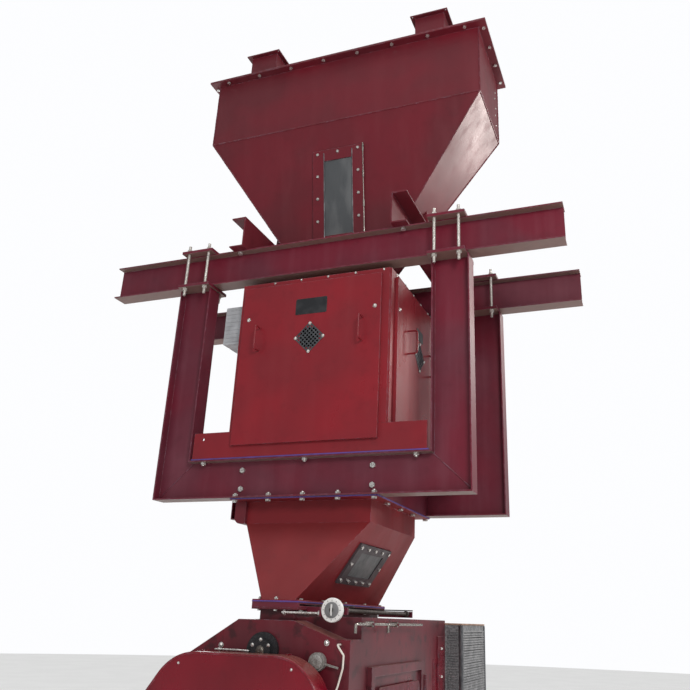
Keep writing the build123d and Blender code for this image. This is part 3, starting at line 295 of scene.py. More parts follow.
for material, names in finishOf.items():
    for name in names.split():
        slots = nodes[name].material_slots
        if len(slots) == 0:
            nodes[name].data.materials.append(material)
        for materialSlot in slots:
            materialSlot.material = material


def refinish(name, material, below):
    # the node's faces lower than below get a second finish
    mesh = nodes[name].data
    index = len(mesh.materials)
    mesh.materials.append(material)
    for polygon in mesh.polygons:
        if (nodes[name].matrix_world @ polygon.center).z < below:
            polygon.material_index = index


refinish("window_frames", darkFrame, 2.3)
print("CAD nodes finished")


def ringFaces(rows, columns):
    # four-sided faces between neighbouring rings, each ring closed on itself
    index = np.arange(rows * columns).reshape(rows, columns)
    after = np.roll(index, -1, axis=1)
    return np.stack([index[:-1], after[:-1], after[1:], index[1:]], axis=-1).reshape(-1, 4)


def turned(centre, axis, profile, steps=24):
    # surface of revolution: a point is centre + axis * height + radius * (cos t, sin t) across the axis
    axis = np.array(axis, float) / np.linalg.norm(axis)
    side = np.cross(axis, (0, 0, 1) if abs(axis[2]) < 0.9 else (1, 0, 0))
    side = side / np.linalg.norm(side)
    other = np.cross(axis, side)
    radius, height = np.array(profile, float).T
    t = np.linspace(0, 2 * math.pi, steps, endpoint=False)
    around = np.cos(t)[None, :, None] * side + np.sin(t)[None, :, None] * other
    return np.array(centre, float) + height[:, None, None] * axis + radius[:, None, None] * around


def roundedRectangle(halfWidth, halfHeight, corner, inset=0.0, arcSteps=6):
    # outline with quarter-circle corners, drawn in by inset
    corner = max(corner - inset, 0.0)
    t = np.linspace(0, math.pi / 2, arcSteps)
    parts = []
    for k, (sx, sy) in enumerate(((1, 1), (-1, 1), (-1, -1), (1, -1))):
        across = (halfWidth - inset - corner) * sx
        rise = (halfHeight - inset - corner) * sy
        turn = t + k * math.pi / 2
        parts.append(np.stack([across + corner * np.cos(turn), rise + corner * np.sin(turn)], axis=1))
    return np.concatenate(parts)


def hexagon(acrossFlats, inset=0.0):
    t = np.arange(6) * math.pi / 3 + math.pi / 6
    reach = (acrossFlats / 2 - inset) / math.cos(math.pi / 6)
    return np.stack([reach * np.cos(t), reach * np.sin(t)], axis=1)


def stacked(centre, right, up, outline, profile):
    # an outline carried through (inset, height) steps along right x up, closed at both ends to a point
    right = np.array(right, float)
    up = np.array(up, float)
    normal = np.cross(right, up)
    centre = np.array(centre, float)
    rings = []
    for inset, height in profile:
        flat = outline(inset)
        rings.append(centre + flat[:, :1] * right + flat[:, 1:] * up + normal * height)
    first = rings[0].mean(0) + 0 * rings[0]
    last = rings[-1].mean(0) + 0 * rings[-1]
    return np.stack([first, *rings, last])


def carried(path, section, scale=None, closed=False):
    # a section (a closed outline across the way) carried along a path without twisting; ends closed
    path = np.array(path, float)
    if closed:
        along = np.roll(path, -1, axis=0) - np.roll(path, 1, axis=0)
    else:
        along = np.gradient(path, axis=0)
    along = along / np.linalg.norm(along, axis=1, keepdims=True)
    start = np.cross(along[0], (0, 0, 1) if abs(along[0][2]) < 0.9 else (1, 0, 0))
    sides = [start / np.linalg.norm(start)]
    for direction in along[1:]:
        side = sides[-1] - direction * np.dot(sides[-1], direction)
        sides.append(side / np.linalg.norm(side))
    sides = np.array(sides)
    others = np.cross(along, sides)
    scale = np.ones(len(path)) if scale is None else np.array(scale, float)
    section = np.array(section, float)
    rings = path[:, None] + scale[:, None, None] * (section[None, :, :1] * sides[:, None]
                                                    + section[None, :, 1:] * others[:, None])
    if closed:
        return np.concatenate([rings, rings[:1]])
    first = path[:1, None] + 0 * rings[:1]
    last = path[-1:, None] + 0 * rings[-1:]
    return np.concatenate([first, rings, last])


def circle(radius, steps=10):
    t = np.linspace(0, 2 * math.pi, steps, endpoint=False)
    return np.stack([radius * np.cos(t), radius * np.sin(t)], axis=1)


def makePiece(name, surfaces, material, body="root", smoothDegrees=38):
    # joins ring surfaces into one closed mesh with its faces outwards
    points = []
    faces = []
    count = 0
    for rings in surfaces:
        rows, columns = rings.shape[:2]
        points.append(rings.reshape(-1, 3))
        faces.append(ringFaces(rows, columns) + count)
        count += rows * columns
    mesh = bpy.data.meshes.new(name)
    mesh.from_pydata(np.concatenate(points).tolist(), [], np.concatenate(faces).tolist())
    work = bmesh.new()
    work.from_mesh(mesh)
    bmesh.ops.remove_doubles(work, verts=work.verts, dist=1e-6)
    bmesh.ops.dissolve_degenerate(work, edges=work.edges, dist=1e-7)
    bmesh.ops.recalc_face_normals(work, faces=work.faces)
    work.to_mesh(mesh)
    work.free()
    mesh.polygons.foreach_set("use_smooth", np.ones(len(mesh.polygons), bool))
    mesh.set_sharp_from_angle(angle=math.radians(smoothDegrees))
    mesh.materials.append(material)
    piece = bpy.data.objects.new(name, mesh)
    bpy.context.scene.collection.objects.link(piece)
    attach(piece, body)
    return piece


def domeScrew(place, direction, radius):
    # round washer with a low domed head on it
    rise = radius * 0.62
    t = np.linspace(0, math.pi / 2, 6)
    dome = [(0.72 * radius * math.cos(a), radius * 0.22 + rise * math.sin(a)) for a in t]
    profile = [(0, 0), (radius, 0), (radius, radius * 0.16), (radius * 0.74, radius * 0.22), *dome]
    return turned(place, direction, profile, 16)


cabinet = {"screwRadius": 0.011, "roofScrews": 6, "plateHalf": (0.092, 0.046), "plateThick": 0.002,
           "plateCorner": 0.008, "ventScrewReach": 0.080, "roofDrop": 0.007, "roofEdge": 0.09,
           "roofLeft": -0.243, "roofRight": 0.405, "doorScrewX": (-0.377, 0.367), "doorScrewDrop": 0.190,
           "plateDrop": 0.147, "sideScrewReach": 0.36, "sideScrewDrop": 0.180, "sidePlateRise": 0.130,
           "sidePlateHalf": (0.06, 0.032)}
bodyLow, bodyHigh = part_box("cabinet_body")
doorLow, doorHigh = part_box("cabinet_front_door")
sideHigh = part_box("cabinet_side_door")[1]
ventLow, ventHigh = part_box("front_door_vent")
sideVentLow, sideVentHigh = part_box("side_door_vent")


def blankPlate(centre, right, up, halfWidth, halfHeight, thick, corner):
    # flat label plate with a softened rim; it carries no lettering
    def outline(inset):
        return roundedRectangle(halfWidth, halfHeight, corner, inset)
    return stacked(centre, right, up, outline, [(0, 0), (0, thick * 0.7), (thick * 0.3, thick)])


def cabinetTrim():
    radius = cabinet["screwRadius"]
    doorFace = doorLow.y
    middle = (ventLow + ventHigh) / 2
    roofHigh = bodyHigh.z - cabinet["roofDrop"]
    spread = np.linspace(cabinet["roofLeft"], cabinet["roofRight"], cabinet["roofScrews"] - 1)
    roof = [domeScrew((x, bodyLow.y, roofHigh), (0, -1, 0), radius * 0.6) for x in spread]
    depths = np.linspace(bodyLow.y + cabinet["roofEdge"], bodyHigh.y - cabinet["roofEdge"],
                         cabinet["roofScrews"])
    roof += [domeScrew((bodyHigh.x, y, roofHigh), (1, 0, 0), radius * 0.8) for y in depths]
    roof += [domeScrew((bodyLow.x, y, roofHigh), (-1, 0, 0), radius * 0.8) for y in depths]
    makePiece("cabinet_roof_screws", roof, zincPlate)
    screws = [domeScrew((x, doorFace, doorHigh.z - cabinet["doorScrewDrop"]), (0, -1, 0), radius)
              for x in cabinet["doorScrewX"]]
    reach = cabinet["ventScrewReach"]
    ventFace = ventLow.y
    for dx, dz in ((reach, 0), (-reach, 0), (0, reach), (0, -reach)):
        screws.append(domeScrew((middle.x + dx, ventFace, middle.z + dz), (0, -1, 0), radius * 0.85))
    makePiece("front_door_screws", screws, zincPlate, "front_door")
    halfWidth, halfHeight = cabinet["plateHalf"]
    plate = blankPlate((middle.x, doorFace, doorHigh.z - cabinet["plateDrop"]), (1, 0, 0), (0, 0, 1),
                       halfWidth, halfHeight, cabinet["plateThick"], cabinet["plateCorner"])
    makePiece("front_door_plate", [plate], plateBlack, "front_door")
    sideMiddle = (sideVentLow + sideVentHigh) / 2
    sideFace = sideHigh.x
    sideReach = cabinet["sideScrewReach"]
    sideScrews = [domeScrew((sideFace, sideMiddle.y + dy, doorHigh.z - cabinet["sideScrewDrop"]), (1, 0, 0),
                            radius) for dy in (-sideReach, sideReach)]
    for dy, dz in ((reach, 0), (-reach, 0), (0, reach), (0, -reach)):
        place = (sideVentHigh.x, sideMiddle.y + dy, sideMiddle.z + dz)
        sideScrews.append(domeScrew(place, (1, 0, 0), radius * 0.85))
    makePiece("side_door_screws", sideScrews, zincPlate, "side_door")
    halfWidth, halfHeight = cabinet["sidePlateHalf"]
    sidePlate = blankPlate((sideFace, sideMiddle.y, sideMiddle.z + cabinet["sidePlateRise"]), (0, 1, 0),
                           (0, 0, 1), halfWidth, halfHeight, cabinet["plateThick"], cabinet["plateCorner"])
    makePiece("side_door_plate", [sidePlate], plateBlack, "side_door")


ribbing = {"count": 9, "edge": 0.018, "end": 0.008, "radius": 0.0035}


def controlBoxRibs():
    # moulded cover ribs on the box's two open sides, each a low rounded bar
    low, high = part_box("control_box")
    ribs = []
    end = ribbing["end"]
    for z in np.linspace(low.z + ribbing["edge"], high.z - ribbing["edge"], ribbing["count"]):
        front = [(low.x + end, low.y, z), (high.x - end, low.y, z)]
        left = [(low.x, low.y + end, z), (low.x, high.y - end, z)]
        for path in (front, left):
            ribs.append(carried(np.linspace(path[0], path[1], 4), circle(ribbing["radius"], 8)))
    makePiece("control_box_ribs", ribs, greyLacquer)


cabinetTrim()
controlBoxRibs()
print("cabinet trim made")


hopper = {"lip": 0.051, "crease": 4.516, "skirtTop": 4.992, "neckTop": 3.385, "outletX": 0.147,
          "outletFront": -0.041, "outletBack": 0.161, "hingeX": 0.166, "hingeOff": 0.010,
          "hingeRadius": 0.0035, "knuckleRadius": 0.0065, "gasketX": 0.094, "skirtScrew": 0.006,
          "collarX": 0.590, "collarHalf": 0.095, "collarLip": 0.027}
shellLow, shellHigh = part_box("hopper_shell")
skirtX = shellHigh.x - hopper["lip"]
skirtFront = shellLow.y + hopper["lip"]
skirtBack = shellHigh.y - hopper["lip"]


def weldBead(start, end, radius=0.0045):
    # a bead laid in ripples: the radius swells and shrinks a little along the way
    start = np.array(start, float)
    end = np.array(end, float)
    count = max(6, int(np.linalg.norm(end - start) / 0.009))
    path = np.linspace(start, end, count)
    ripple = 1 + 0.14 * np.sin(np.arange(count) * 2.1) + 0.08 * np.sin(np.arange(count) * 0.37)
    return carried(path, circle(radius, 7), ripple)


def frontSlope(x, z, off):
    # a point on the hopper's front slope at height z, standing off by off along its outward normal
    top = np.array((skirtFront, hopper["crease"]))
    foot = np.array((hopper["outletFront"], hopper["neckTop"]))
    share = (z - foot[1]) / (top[1] - foot[1])
    place = foot + (top - foot) * share
    run = (top - foot) / np.linalg.norm(top - foot)
    return (x, place[0] - run[1] * off, place[1] + run[0] * off)


def windowHinge():
    # hinge rod down the window frame's right edge, held by short knuckles
    x = hopper["hingeX"]
    off = hopper["hingeOff"]
    heights = np.linspace(3.70, 4.325, 24)
    rod = carried([frontSlope(x, z, off) for z in heights], circle(hopper["hingeRadius"], 8))
    knuckles = []
    for z in (3.74, 3.93, 4.12, 4.29):
        span = [frontSlope(x, z + step, off) for step in (-0.022, -0.008, 0.008, 0.022)]
        knuckles.append(carried(span, circle(hopper["knuckleRadius"], 10)))
    makePiece("window_hinge", [rod, *knuckles], brightSteel)
    gasket = []
    for x in (-hopper["gasketX"], hopper["gasketX"]):
        edge = [frontSlope(x, z, 0.0105) for z in np.linspace(3.72, 4.30, 20)]
        gasket.append(carried(edge, circle(0.003, 6)))
    makePiece("window_gasket", gasket, galvanised)


def skirtScrews():
    places = ((0.255, 4.86), (0.235, 4.80), (0.262, 4.74), (0.240, 4.67), (0.258, 4.60))
    screws = [domeScrew((side * skirtX, y, z), (side, 0, 0), hopper["skirtScrew"])
              for y, z in places for side in (-1, 1)]
    makePiece("skirt_screws", screws, zincPlate)


def hopperTrim():
    # weld beads round the crease, down the four slope corners and up the skirt corners
    crease = hopper["crease"]
    beads = [weldBead((-skirtX, skirtFront, crease), (skirtX, skirtFront, crease)),
             weldBead((-skirtX, skirtBack, crease), (skirtX, skirtBack, crease))]
    for side in (-1, 1):
        x = side * skirtX
        beads.append(weldBead((x, skirtFront, crease), (x, skirtBack, crease)))
        for skirtY, outletY in ((skirtFront, hopper["outletFront"]), (skirtBack, hopper["outletBack"])):
            neck = (side * hopper["outletX"], outletY, hopper["neckTop"])
            beads.append(weldBead((x, skirtY, crease), neck))
            beads.append(weldBead((x, skirtY, crease), (x, skirtY, hopper["skirtTop"])))
    makePiece("hopper_weld_beads", beads, hopperShadedEnamel)


def collarBeads():
    low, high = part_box("inlet_collars")
    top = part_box("hopper_lid")[1].z
    beads = []
    half = hopper["collarHalf"]
    front = low.y + hopper["collarLip"]
    back = high.y - hopper["collarLip"]
    for x in (-hopper["collarX"], hopper["collarX"]):
        corners = [(x - half, front), (x + half, front), (x + half, back), (x - half, back)]
        for first, second in zip(corners, corners[1:] + corners[:1]):
            beads.append(weldBead((*first, top + 0.002), (*second, top + 0.002), 0.004))
    makePiece("collar_weld_beads", beads, hopperShadedEnamel)


hopperTrim()
windowHinge()
skirtScrews()
collarBeads()
print("hopper trim made")


frames = {"legWidth": 0.200, "cornerInset": 0.007, "beadOff": 0.003}


def frameBeads():
    # mitre welds across the lower corners of both hanger frames
    inset = frames["cornerInset"]
    beads = []
    for name, face in (("hanger_frame_front", -1), ("hanger_frame_rear", 1)):
        low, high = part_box(name)
        webY = (low.y + high.y) / 2 + face * frames["beadOff"]
        for side in (-1, 1):
            outer = side * high.x
            inner = side * (high.x - frames["legWidth"])
            top = low.z + frames["legWidth"] - inset
            beads.append(weldBead((outer, webY, low.z + inset), (inner, webY, top), 0.003))
    makePiece("frame_mitre_beads", beads, frameShadedEnamel)


frameBeads()
print("frame beads made")


gate = {"rodRadius": 0.005, "rodLeft": 0.045, "rodRight": 0.236, "rodHeight": 1.611, "rodDepth": -0.580,
        "nutFlats": 0.019, "nutThick": 0.009, "lugDepth": -0.565, "ridgeStep": 0.0012}
dialLow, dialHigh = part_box("gate_dial")
dialCentre = (dialLow + dialHigh) / 2
dialRadius = (dialHigh.x - dialLow.x) / 2


def gateDialFace():
    # pale rim with a grey insert, ticks every 30 degrees and one pointer
    face = dialLow.y
    insert = turned((dialCentre.x, face, dialCentre.z), (0, -1, 0),
                    [(0, -0.004), (dialRadius * 0.66, -0.004), (dialRadius * 0.66, 0.002),
                     (dialRadius * 0.6, 0.004), (0, 0.0045)], 32)
    makePiece("dial_insert", [insert], dialGrey, "gate_wheel")
    marks = []
    for k in range(12):
        t = math.radians(30 * k)
        out = np.array((math.sin(t), 0, math.cos(t)))
        centre = np.array((dialCentre.x, face, dialCentre.z)) + out * dialRadius * 0.78
        marks.append(carried([centre - out * 0.003, centre, centre + out * 0.003], circle(0.0011, 6)))
    makePiece("dial_ticks", marks, plateBlack, "gate_wheel")

    def pointerOutline(inset):
        return roundedRectangle(0.004 - inset, 0.024 - inset, 0.0035)
    pointer = stacked((dialCentre.x, face - 0.004, dialCentre.z), (1, 0, 0), (0, 0, 1), pointerOutline,
                      [(0, 0), (0, 0.002), (0.001, 0.003)])
    makePiece("dial_pointer", [pointer], dialWhite, "gate_wheel")


def stripAlong(start, end, halfThick, halfHigh):
    return carried(np.linspace(start, end, 3), roundedRectangle(halfThick, halfHigh, 0.0005, 0, 3))


glintStrip = {"halfThick": 0.0022, "halfHigh": 0.003, "chuteHalfX": 0.402, "chuteFront": -0.376,
         "chuteRear": 0.496}


def paintedGlintStrips():
    # violet strips along the joints under the pan, over the chute and over the gate: a painted glint along
    # these edges
    panLow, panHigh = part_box("base_pan")
    gateLow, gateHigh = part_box("gate_frame")
    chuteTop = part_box("chute")[1].z
    strips = []
    runs = ((panHigh.x, panLow.y, panHigh.y, panLow.z + 0.004),
            (glintStrip["chuteHalfX"], glintStrip["chuteFront"], glintStrip["chuteRear"], chuteTop - 0.003),
            (-gateLow.x, gateLow.y, gateHigh.y, gateHigh.z))
    for halfX, front, rear, z in runs:
        section = glintStrip["halfThick"], glintStrip["halfHigh"]
        strips.append(stripAlong((-halfX, front, z), (halfX, front, z), *section))
        strips.append(stripAlong((halfX, front, z), (halfX, rear, z), *section))
    makePiece("joint_painted_glint_strips", strips, violetGlint)


def gateLockRod():
    # threaded rod beside the dial with a nut on its free end; ridges are a rise and fall of the radius
    length = gate["rodRight"] - gate["rodLeft"]
    count = int(length / gate["ridgeStep"])
    x = np.linspace(gate["rodLeft"], gate["rodRight"], count)
    path = np.stack([x, np.full(count, gate["rodDepth"]), np.full(count, gate["rodHeight"])], axis=1)
    ridges = 1 + 0.07 * np.cos(np.arange(count) * math.pi / 1.6)
    rod = carried(path, circle(gate["rodRadius"], 12), ridges)

    def nutOutline(inset):
        return hexagon(gate["nutFlats"], inset)
    depth = gate["rodDepth"]
    height = gate["rodHeight"]
    thick = gate["nutThick"]
    nuts = []
    for place in (gate["rodLeft"] + 0.006, gate["rodRight"] - 0.016):
        nuts.append(stacked((place, depth, height), (0, 1, 0), (0, 0, 1), nutOutline,
                            [(0.001, 0), (0, 0.001), (0, thick - 0.001), (0.001, thick)]))
    makePiece("gate_lock_rod", [rod, *nuts], zincPlate)

    def lugOutline(inset):
        return roundedRectangle(0.016, 0.020, 0.006, inset)
    lug = stacked((gate["rodRight"] - 0.004, depth, height + 0.006), (0, 1, 0), (0, 0, 1), lugOutline,
                  [(0.001, 0), (0, 0.001), (0, 0.005), (0.001, 0.006)])
    armX = gate["rodRight"] - 0.001
    armPath = np.linspace((armX, depth + 0.008, height + 0.012),
                          (armX, gate["lugDepth"], height + 0.022), 3)
    arm = carried(armPath, roundedRectangle(0.003, 0.008, 0.001, 0, 3))
    makePiece("gate_rod_lug", [lug, arm], frameShadedEnamel)


gateDialFace()
paintedGlintStrips()
gateLockRod()
print("gate trim made")


mill = {"wallY": -0.640, "bearingScrews": 6, "screwReach": 0.044, "bearingScrew": 0.0075, "feedZ": 1.456,
        "hubX": 0.262, "hubZ": 1.423, "pipeY": -0.670, "pipeZ": 1.454, "pipeEnd": -0.197,
        "pipeRadius": 0.0042, "wallScrew": 0.012, "sideX": 0.400}
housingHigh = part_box("mill_housing")[1]


def screwRing(centre, direction, reach, count, radius, turnDegrees=0.0):
    screws = []
    for k in range(count):
        t = math.radians(turnDegrees + 360 * k / count)
        place = (centre[0] + reach * math.cos(t), centre[1], centre[2] + reach * math.sin(t))
        screws.append(domeScrew(place, direction, radius))
    return screws


def feedBearingTrim():
    # screws on the feed roll's flange bearing, its grease pipe and nipple, and the shaft's end cap
    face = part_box("mill_bearings")[0].y
    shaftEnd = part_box("feed_roll")[0].y
    screws = screwRing((0, face - 0.0003, mill["feedZ"]), (0, -1, 0), mill["screwReach"],
                       mill["bearingScrews"], mill["bearingScrew"], 30)
    makePiece("feed_bearing_screws", screws, zincPlate)
    y = mill["pipeY"]
    z = mill["pipeZ"]
    pipe = [(-0.056, y + 0.006, z - 0.002), (-0.075, y + 0.002, z - 0.001), (-0.103, y, z),
            (-0.150, y, z), (mill["pipeEnd"], y, z)]
    nipple = turned((mill["pipeEnd"], y, z), (-1, 0, 0),
                    [(0, -0.002), (0.007, -0.002), (0.007, 0.008), (0.004, 0.010), (0.0032, 0.018),
                     (0.0045, 0.021), (0.003, 0.025), (0, 0.026)], 16)
    line = carried(pipe, circle(mill["pipeRadius"], 12))
    makePiece("grease_pipe", [line, nipple], zincPlate)
    cap = turned((0, shaftEnd + 0.004, mill["feedZ"]), (0, -1, 0),
                 [(0, 0), (0.016, 0), (0.016, 0.006), (0.012, 0.009), (0.005, 0.0095), (0, 0.006)], 24)
    makePiece("feed_shaft_cap", [cap], wornSteel, "feed_rotor")


def directorHub():
    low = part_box("flow_director")[0].y
    hub = turned((mill["hubX"], low + 0.002, mill["hubZ"]), (0, -1, 0),
                 [(0, 0), (0.028, 0), (0.028, 0.004), (0.024, 0.007), (0.010, 0.008), (0.0095, 0.004),
                  (0, 0.004)], 28)
    makePiece("director_hub_cap", [hub], greyHub, "flow_flap")


def wallScrews():
    places = ((0.294, 1.496), (-0.210, 1.470), (-0.330, 1.380), (0.352, 1.250), (0.352, 1.050),
              (0.352, 0.850), (-0.352, 0.850), (-0.352, 1.050), (-0.200, 0.700), (0, 0.700), (0.200, 0.700))
    radius = mill["wallScrew"]
    screws = [domeScrew((x, mill["wallY"], z), (0, -1, 0), radius) for x, z in places]
    makePiece("front_wall_screws", screws, zincPlate)
    tail = [domeScrew((x, housingHigh.y, z), (0, 1, 0), radius)
            for x in (-0.3, -0.1, 0.1) for z in (0.70, 1.30)]
    makePiece("tail_wall_screws", tail, zincPlate)


def sideWallBeads():
    beads = []
    for x in (-mill["sideX"], mill["sideX"]):
        for y in (0.588, 0.815):
            beads.append(weldBead((x, y, 0.650), (x, y, 1.400), 0.004))
    makePiece("mill_side_beads", beads, millShadedEnamel)


cover = {"x": 0.3995, "y": 0.735, "z": 1.085, "halfWidth": 0.070, "halfHeight": 0.430, "screwX": 0.408,
         "screwRadius": 0.009}


def tailFlange():
    # bolted cover strips down both sides where the drive-end plate laps the casing
    for side in (-1, 1):
        def outline(inset):
            return roundedRectangle(cover["halfWidth"], cover["halfHeight"], 0.004, inset)
        strip = stacked((side * cover["x"], cover["y"], cover["z"]), (0, side, 0), (0, 0, 1), outline,
                        [(0, 0), (0, 0.007), (0.0015, 0.0085)])
        label = "right" if side > 0 else "left"
        makePiece("tail_flange_" + label, [strip], millShadedEnamel)
        screws = [domeScrew((side * cover["screwX"], cover["y"], z), (side, 0, 0), cover["screwRadius"])
                  for z in np.linspace(0.72, 1.45, 6)]
        makePiece("tail_flange_screws_" + label, screws, zincPlate)


latch = {"hubInset": 0.011, "bend": 0.016, "drop": 0.036, "radius": 0.0062}


def latchEnds():
    # the latch rods' front ends turn down in a quarter circle
    reach = latch["bend"]
    for name, body in (("hatch_handle_front", "front_latch"), ("hatch_handle_rear", "rear_latch")):
        low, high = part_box(name)
        centre = (low + high) / 2
        hubX = high.x - latch["hubInset"]
        bend = [(hubX, low.y + 0.004, centre.z)]
        for degrees in range(0, 91, 15):
            t = math.radians(degrees)
            bend.append((hubX, low.y - reach * math.sin(t), centre.z - reach * (1 - math.cos(t))))
        bend.append((hubX, low.y - reach, centre.z - latch["drop"]))
        rod = carried(bend, circle(latch["radius"], 12))
        makePiece(name + "_bend", [rod], brightSteel, body)


millDoor = {"face": 0.4226, "front": -0.432, "rear": 0.341, "halfWidth": 0.300, "halfHeight": 0.215,
            "corner": 0.03, "knobY": -0.400, "knobInset": 0.12}


def doorPanels():
    # each side door has a pressed panel and two quarter-turn knobs near its free edge
    for name, body, side in (("right_mill_door", "right_door", 1), ("left_mill_door", "left_door", -1)):
        low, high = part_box(name)
        face = millDoor["face"] * side
        middleY = (millDoor["front"] + millDoor["rear"]) / 2

        def outline(inset):
            return roundedRectangle(millDoor["halfWidth"], millDoor["halfHeight"], millDoor["corner"],
                                    inset)
        panel = stacked((face, middleY, (low.z + high.z) / 2), (0, side, 0), (0, 0, 1), outline,
                        [(0, -0.001), (0.002, 0.004), (0.006, 0.006)])
        knobs = []
        for z in (low.z + millDoor["knobInset"], high.z - millDoor["knobInset"]):
            knobs.append(turned((face, millDoor["knobY"], z), (side, 0, 0),
                                [(0, -0.001), (0.010, -0.001), (0.010, 0.012), (0.022, 0.014),
                                 (0.024, 0.019), (0.022, 0.026), (0.012, 0.029), (0, 0.030)], 24))
        makePiece(name + "_panel", [panel], millShadedEnamel, body)
        makePiece(name + "_knobs", knobs, plateBlack, body)


feedBearingTrim()
directorHub()
wallScrews()
sideWallBeads()
tailFlange()
latchEnds()
doorPanels()
print("mill trim made")


guard = {"lobes": ((-0.241, 1.231, 0.215), (0.130, 1.231, 0.215), (0.040, 0.960, 0.200),
                   (-0.715, 0.621, 0.190)), "beadRadius": 0.005, "screwRadius": 0.0055, "screwInset": 0.030,
         "firstScrew": 8, "screwStep": 31}
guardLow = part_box("belt_guard")[0]


def guardEdge(inset, count=220):
    # the hull of the lobes: in each direction, the circle that reaches furthest gives the edge point
    t = np.linspace(0, 2 * math.pi, count, endpoint=False)
    normal = np.stack([np.cos(t), np.sin(t)], axis=1)
    centres = np.array([lobe[:2] for lobe in guard["lobes"]])
    radii = np.array([lobe[2] for lobe in guard["lobes"]]) - inset
    chosen = np.argmax(normal @ centres.T + radii, axis=1)
    return centres[chosen] + radii[chosen, None] * normal


def guardTrim():
    edge = guardEdge(guard["beadRadius"])
    path = np.stack([edge[:, 0], np.full(len(edge), guardLow.y + 0.002), edge[:, 1]], axis=1)
    rim = carried(path, circle(guard["beadRadius"], 10), closed=True)
    makePiece("guard_rolled_edge", [rim], guardLitEnamel)
    inner = guardEdge(guard["screwInset"])
    screws = [domeScrew((x, guardLow.y, z), (0, -1, 0), guard["screwRadius"])
              for x, z in inner[guard["firstScrew"]::guard["screwStep"]]]
    makePiece("guard_screws", screws, zincPlate)


guardTrim()
print("guard trim made")


louvres = {"pitch": 0.014, "depth": 0.006, "margin": 0.022, "foot": 0.03, "head": 0.035, "postHalf": 0.011,
           "casingSide": 0.415, "casingRear": 0.860}
boxLow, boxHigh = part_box("intake_box")


def louvreBlades(start, end, outward):
    # a thin wedge across the way: flat against the sheet, leaning out over its lower edge
    depth = louvres["depth"]
    section = [(0, 0.005), (depth, -0.004), (depth - 0.001, -0.0055), (0, -0.002)]
    out = np.array(outward, float)
    ring = np.array([out * a + np.array((0, 0, b)) for a, b in section])
    ends = np.stack([np.array(start, float) + ring, np.array(end, float) + ring])
    return np.concatenate([ends[:1].mean(1, keepdims=True) + 0 * ends[:1], ends,
                           ends[1:].mean(1, keepdims=True) + 0 * ends[1:]])


def louvredBox():
    blades = []
    margin = louvres["margin"]
    heights = np.arange(boxLow.z + louvres["foot"], boxHigh.z - louvres["head"], louvres["pitch"])
    faces = (((boxHigh.x, boxLow.y + margin), (boxHigh.x, boxHigh.y - margin), (1, 0, 0)),
             ((louvres["casingSide"], boxLow.y), (boxHigh.x - margin, boxLow.y), (0, -1, 0)),
             ((boxLow.x + margin, boxHigh.y), (boxHigh.x - margin, boxHigh.y), (0, 1, 0)),
             ((boxLow.x, louvres["casingRear"]), (boxLow.x, boxHigh.y - margin), (-1, 0, 0)))
    for z in heights:
        for first, second, outward in faces:
            blades.append(louvreBlades((*first, z), (*second, z), outward))
    makePiece("air_box_louvres", blades, louvreGrey, smoothDegrees=20)
    posts = []
    half = louvres["postHalf"]
    for x in (boxLow.x + 0.008, boxHigh.x - 0.005):
        for y in (boxLow.y + 0.005, boxHigh.y - 0.005):
            posts.append(carried(np.linspace((x, y, boxLow.z + 0.004), (x, y, boxHigh.z - 0.004), 3),
                                 roundedRectangle(half, half, 0.002, 0, 3)))
    makePiece("air_box_corners", posts, galvanised)

    def lidOutline(inset):
        return roundedRectangle((boxHigh.x - boxLow.x) / 2 + 0.006, (boxHigh.y - boxLow.y) / 2 + 0.004,
                                0.008, inset)
    centre = (boxLow + boxHigh) / 2
    lid = stacked((centre.x, centre.y, boxHigh.z - 0.001), (1, 0, 0), (0, 1, 0), lidOutline,
                  [(0.002, 0), (0, 0.002), (0, 0.006), (0.003, 0.009)])
    makePiece("air_box_lid", [lid], tanSeal)


louvredBox()
print("air box made")


motor = {"finHeight": 0.010, "fins": 36, "x": -0.715, "z": 0.621, "radius": 0.165, "frontBand": 0.07,
         "rearBand": 0.13, "cowl": 0.115, "wire": 0.0022, "guardOff": 0.002}
motorLow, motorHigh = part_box("main_motor")


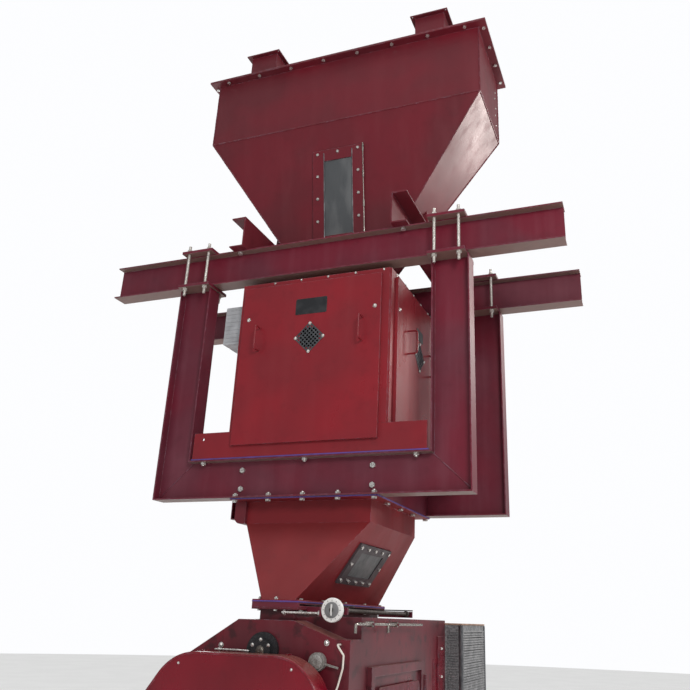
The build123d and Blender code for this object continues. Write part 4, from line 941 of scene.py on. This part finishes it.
def motorDetail():
    # finned barrel: the radius rises and falls around the axis, and a plain band closes each end
    radius = motor["radius"]
    start = motorLow.y + motor["frontBand"]
    end = motorHigh.y - motor["rearBand"]
    count = motor["fins"] * 8
    t = np.linspace(0, 2 * math.pi, count, endpoint=False)
    wave = np.clip(np.cos(t * motor["fins"]) * 3, -1, 1)
    finned = radius + 0.001 + motor["finHeight"] / 2 * (1 + wave)
    rings = []
    for y, shape in ((start, None), (start, finned), (end, finned), (end, None)):
        reach = np.full(count, radius - 0.004) if shape is None else shape
        rings.append(np.stack([motor["x"] + reach * np.cos(t), np.full(count, y),
                               motor["z"] + reach * np.sin(t)], axis=1))
    rings.append(rings[0])
    makePiece("motor_fins", [np.stack(rings)], motorGrey, smoothDegrees=50)
    cowl = turned((motor["x"], motorHigh.y - motor["cowl"], motor["z"]), (0, 1, 0),
                  [(radius - 0.004, 0), (radius + 0.008, 0), (radius + 0.008, 0.100),
                   (radius - 0.004, 0.112),
                   (0.150, 0.114), (0.148, 0.110), (radius - 0.010, 0.106), (radius - 0.004, 0)], 48)
    # fan grille: round wires and four spokes
    guardY = motorHigh.y + motor["guardOff"]
    loop = np.linspace(0, 2 * math.pi, 48, endpoint=False)
    wire = circle(motor["wire"], 6)
    guardRings = []
    for reach in np.linspace(0.03, 0.14, 7):
        path = np.stack([motor["x"] + reach * np.cos(loop), np.full(48, guardY),
                         motor["z"] + reach * np.sin(loop)], axis=1)
        guardRings.append(carried(path, wire, closed=True))
    hub = np.array((motor["x"], guardY, motor["z"]))
    for k in range(4):
        t = math.radians(45 + 90 * k)
        spoke = np.array((math.cos(t), 0, math.sin(t)))
        guardRings.append(carried(np.linspace(hub + spoke * 0.02, hub + spoke * 0.155, 3), wire))
    makePiece("motor_fan_cowl", [cowl, *guardRings], motorGrey)


motorDetail()
print("motor detail made")


def studio():
    # a pale round floor just under the feet
    t = np.linspace(0, 2 * math.pi, 96, endpoint=False)
    ring = np.stack([np.cos(t), np.sin(t), 0 * t], axis=1)
    mesh = bpy.data.meshes.new("studio_floor")
    rings = np.stack([ring * r for r in (0.001, 4, 12, 30)]).reshape(-1, 3)
    mesh.from_pydata(rings.tolist(), [], ringFaces(4, 96).tolist())
    floor = bpy.data.objects.new("studio_floor", mesh)
    floor.location.z = -0.0015
    bpy.context.scene.collection.objects.link(floor)
    material, tree, shader, place = newMaterial("pale_studio_floor")
    tone = noise(tree, place, 900, 2)
    tree.links.new(blendColour(tree, tone, hexColour("#F2F2F1"), hexColour("#EFEFEE")),
                   shader.inputs["Base Color"])
    shader.inputs["Roughness"].default_value = 0.85
    mesh.materials.append(material)


def areaLight(name, place, target, size, power, colour):
    data = bpy.data.lights.new(name, "AREA")
    data.shape = "DISK"
    data.size = size
    data.energy = power
    data.color = colour
    light = bpy.data.objects.new(name, data)
    bpy.context.scene.collection.objects.link(light)
    light.location = place
    direction = Vector(place) - Vector(target)
    light.rotation_euler = direction.to_track_quat("Z", "Y").to_euler()


studio()
areaLight("front_right_softbox", (3.4, -4.6, 4.4), (0, 0, 3.0), 1.8, 150, (1.0, 0.97, 0.94))
areaLight("rear_right_window", (4.6, 4.6, 5.2), (0.5, 0.1, 4.1), 1.7, 215, (1.0, 0.95, 0.90))
areaLight("rear_left_window", (-4.0, 4.5, 4.5), (0, 0, 3.0), 2.6, 160, (0.97, 0.98, 1.0))
overhead = bpy.data.lights.new("overhead_diffuser", "SUN")
overhead.energy = 1.5
overhead.angle = math.radians(70)
overheadLight = bpy.data.objects.new("overhead_diffuser", overhead)
bpy.context.scene.collection.objects.link(overheadLight)
world = bpy.data.worlds.new("soft_room")
world.use_nodes = True
room = world.node_tree
# the room behind shows white, and lights the machine less than that
seen = addNode(room, "ShaderNodeLightPath").outputs["Is Camera Ray"]
strength = addNode(room, "ShaderNodeMapRange", None, {"Value": seen, "To Min": 0.36, "To Max": 1.0})
room.nodes["Background"].inputs[0].default_value = (0.98, 0.985, 1.0, 1)
room.links.new(strength.outputs[0], room.nodes["Background"].inputs[1])
bpy.context.scene.world = world
bpy.context.scene.view_settings.view_transform = "Standard"

view = {"lens": 38.58, "shiftX": -0.0531, "shiftY": -0.0187, "place": (1.6426, -3.7144, 1.5918),
        "turnDegrees": (111.279, -1.662, 19.819)}
cameraData = bpy.data.cameras.new("low_right_camera")
cameraData.lens = view["lens"]
cameraData.sensor_width = 36
cameraData.shift_x = view["shiftX"]
cameraData.shift_y = view["shiftY"]
cameraData.clip_end = 100
camera = bpy.data.objects.new("low_right_camera", cameraData)
camera.location = view["place"]
camera.rotation_euler = [math.radians(a) for a in view["turnDegrees"]]
bpy.context.scene.collection.objects.link(camera)
bpy.context.scene.camera = camera
print("studio and camera ready")

bpy.context.view_layer.update()
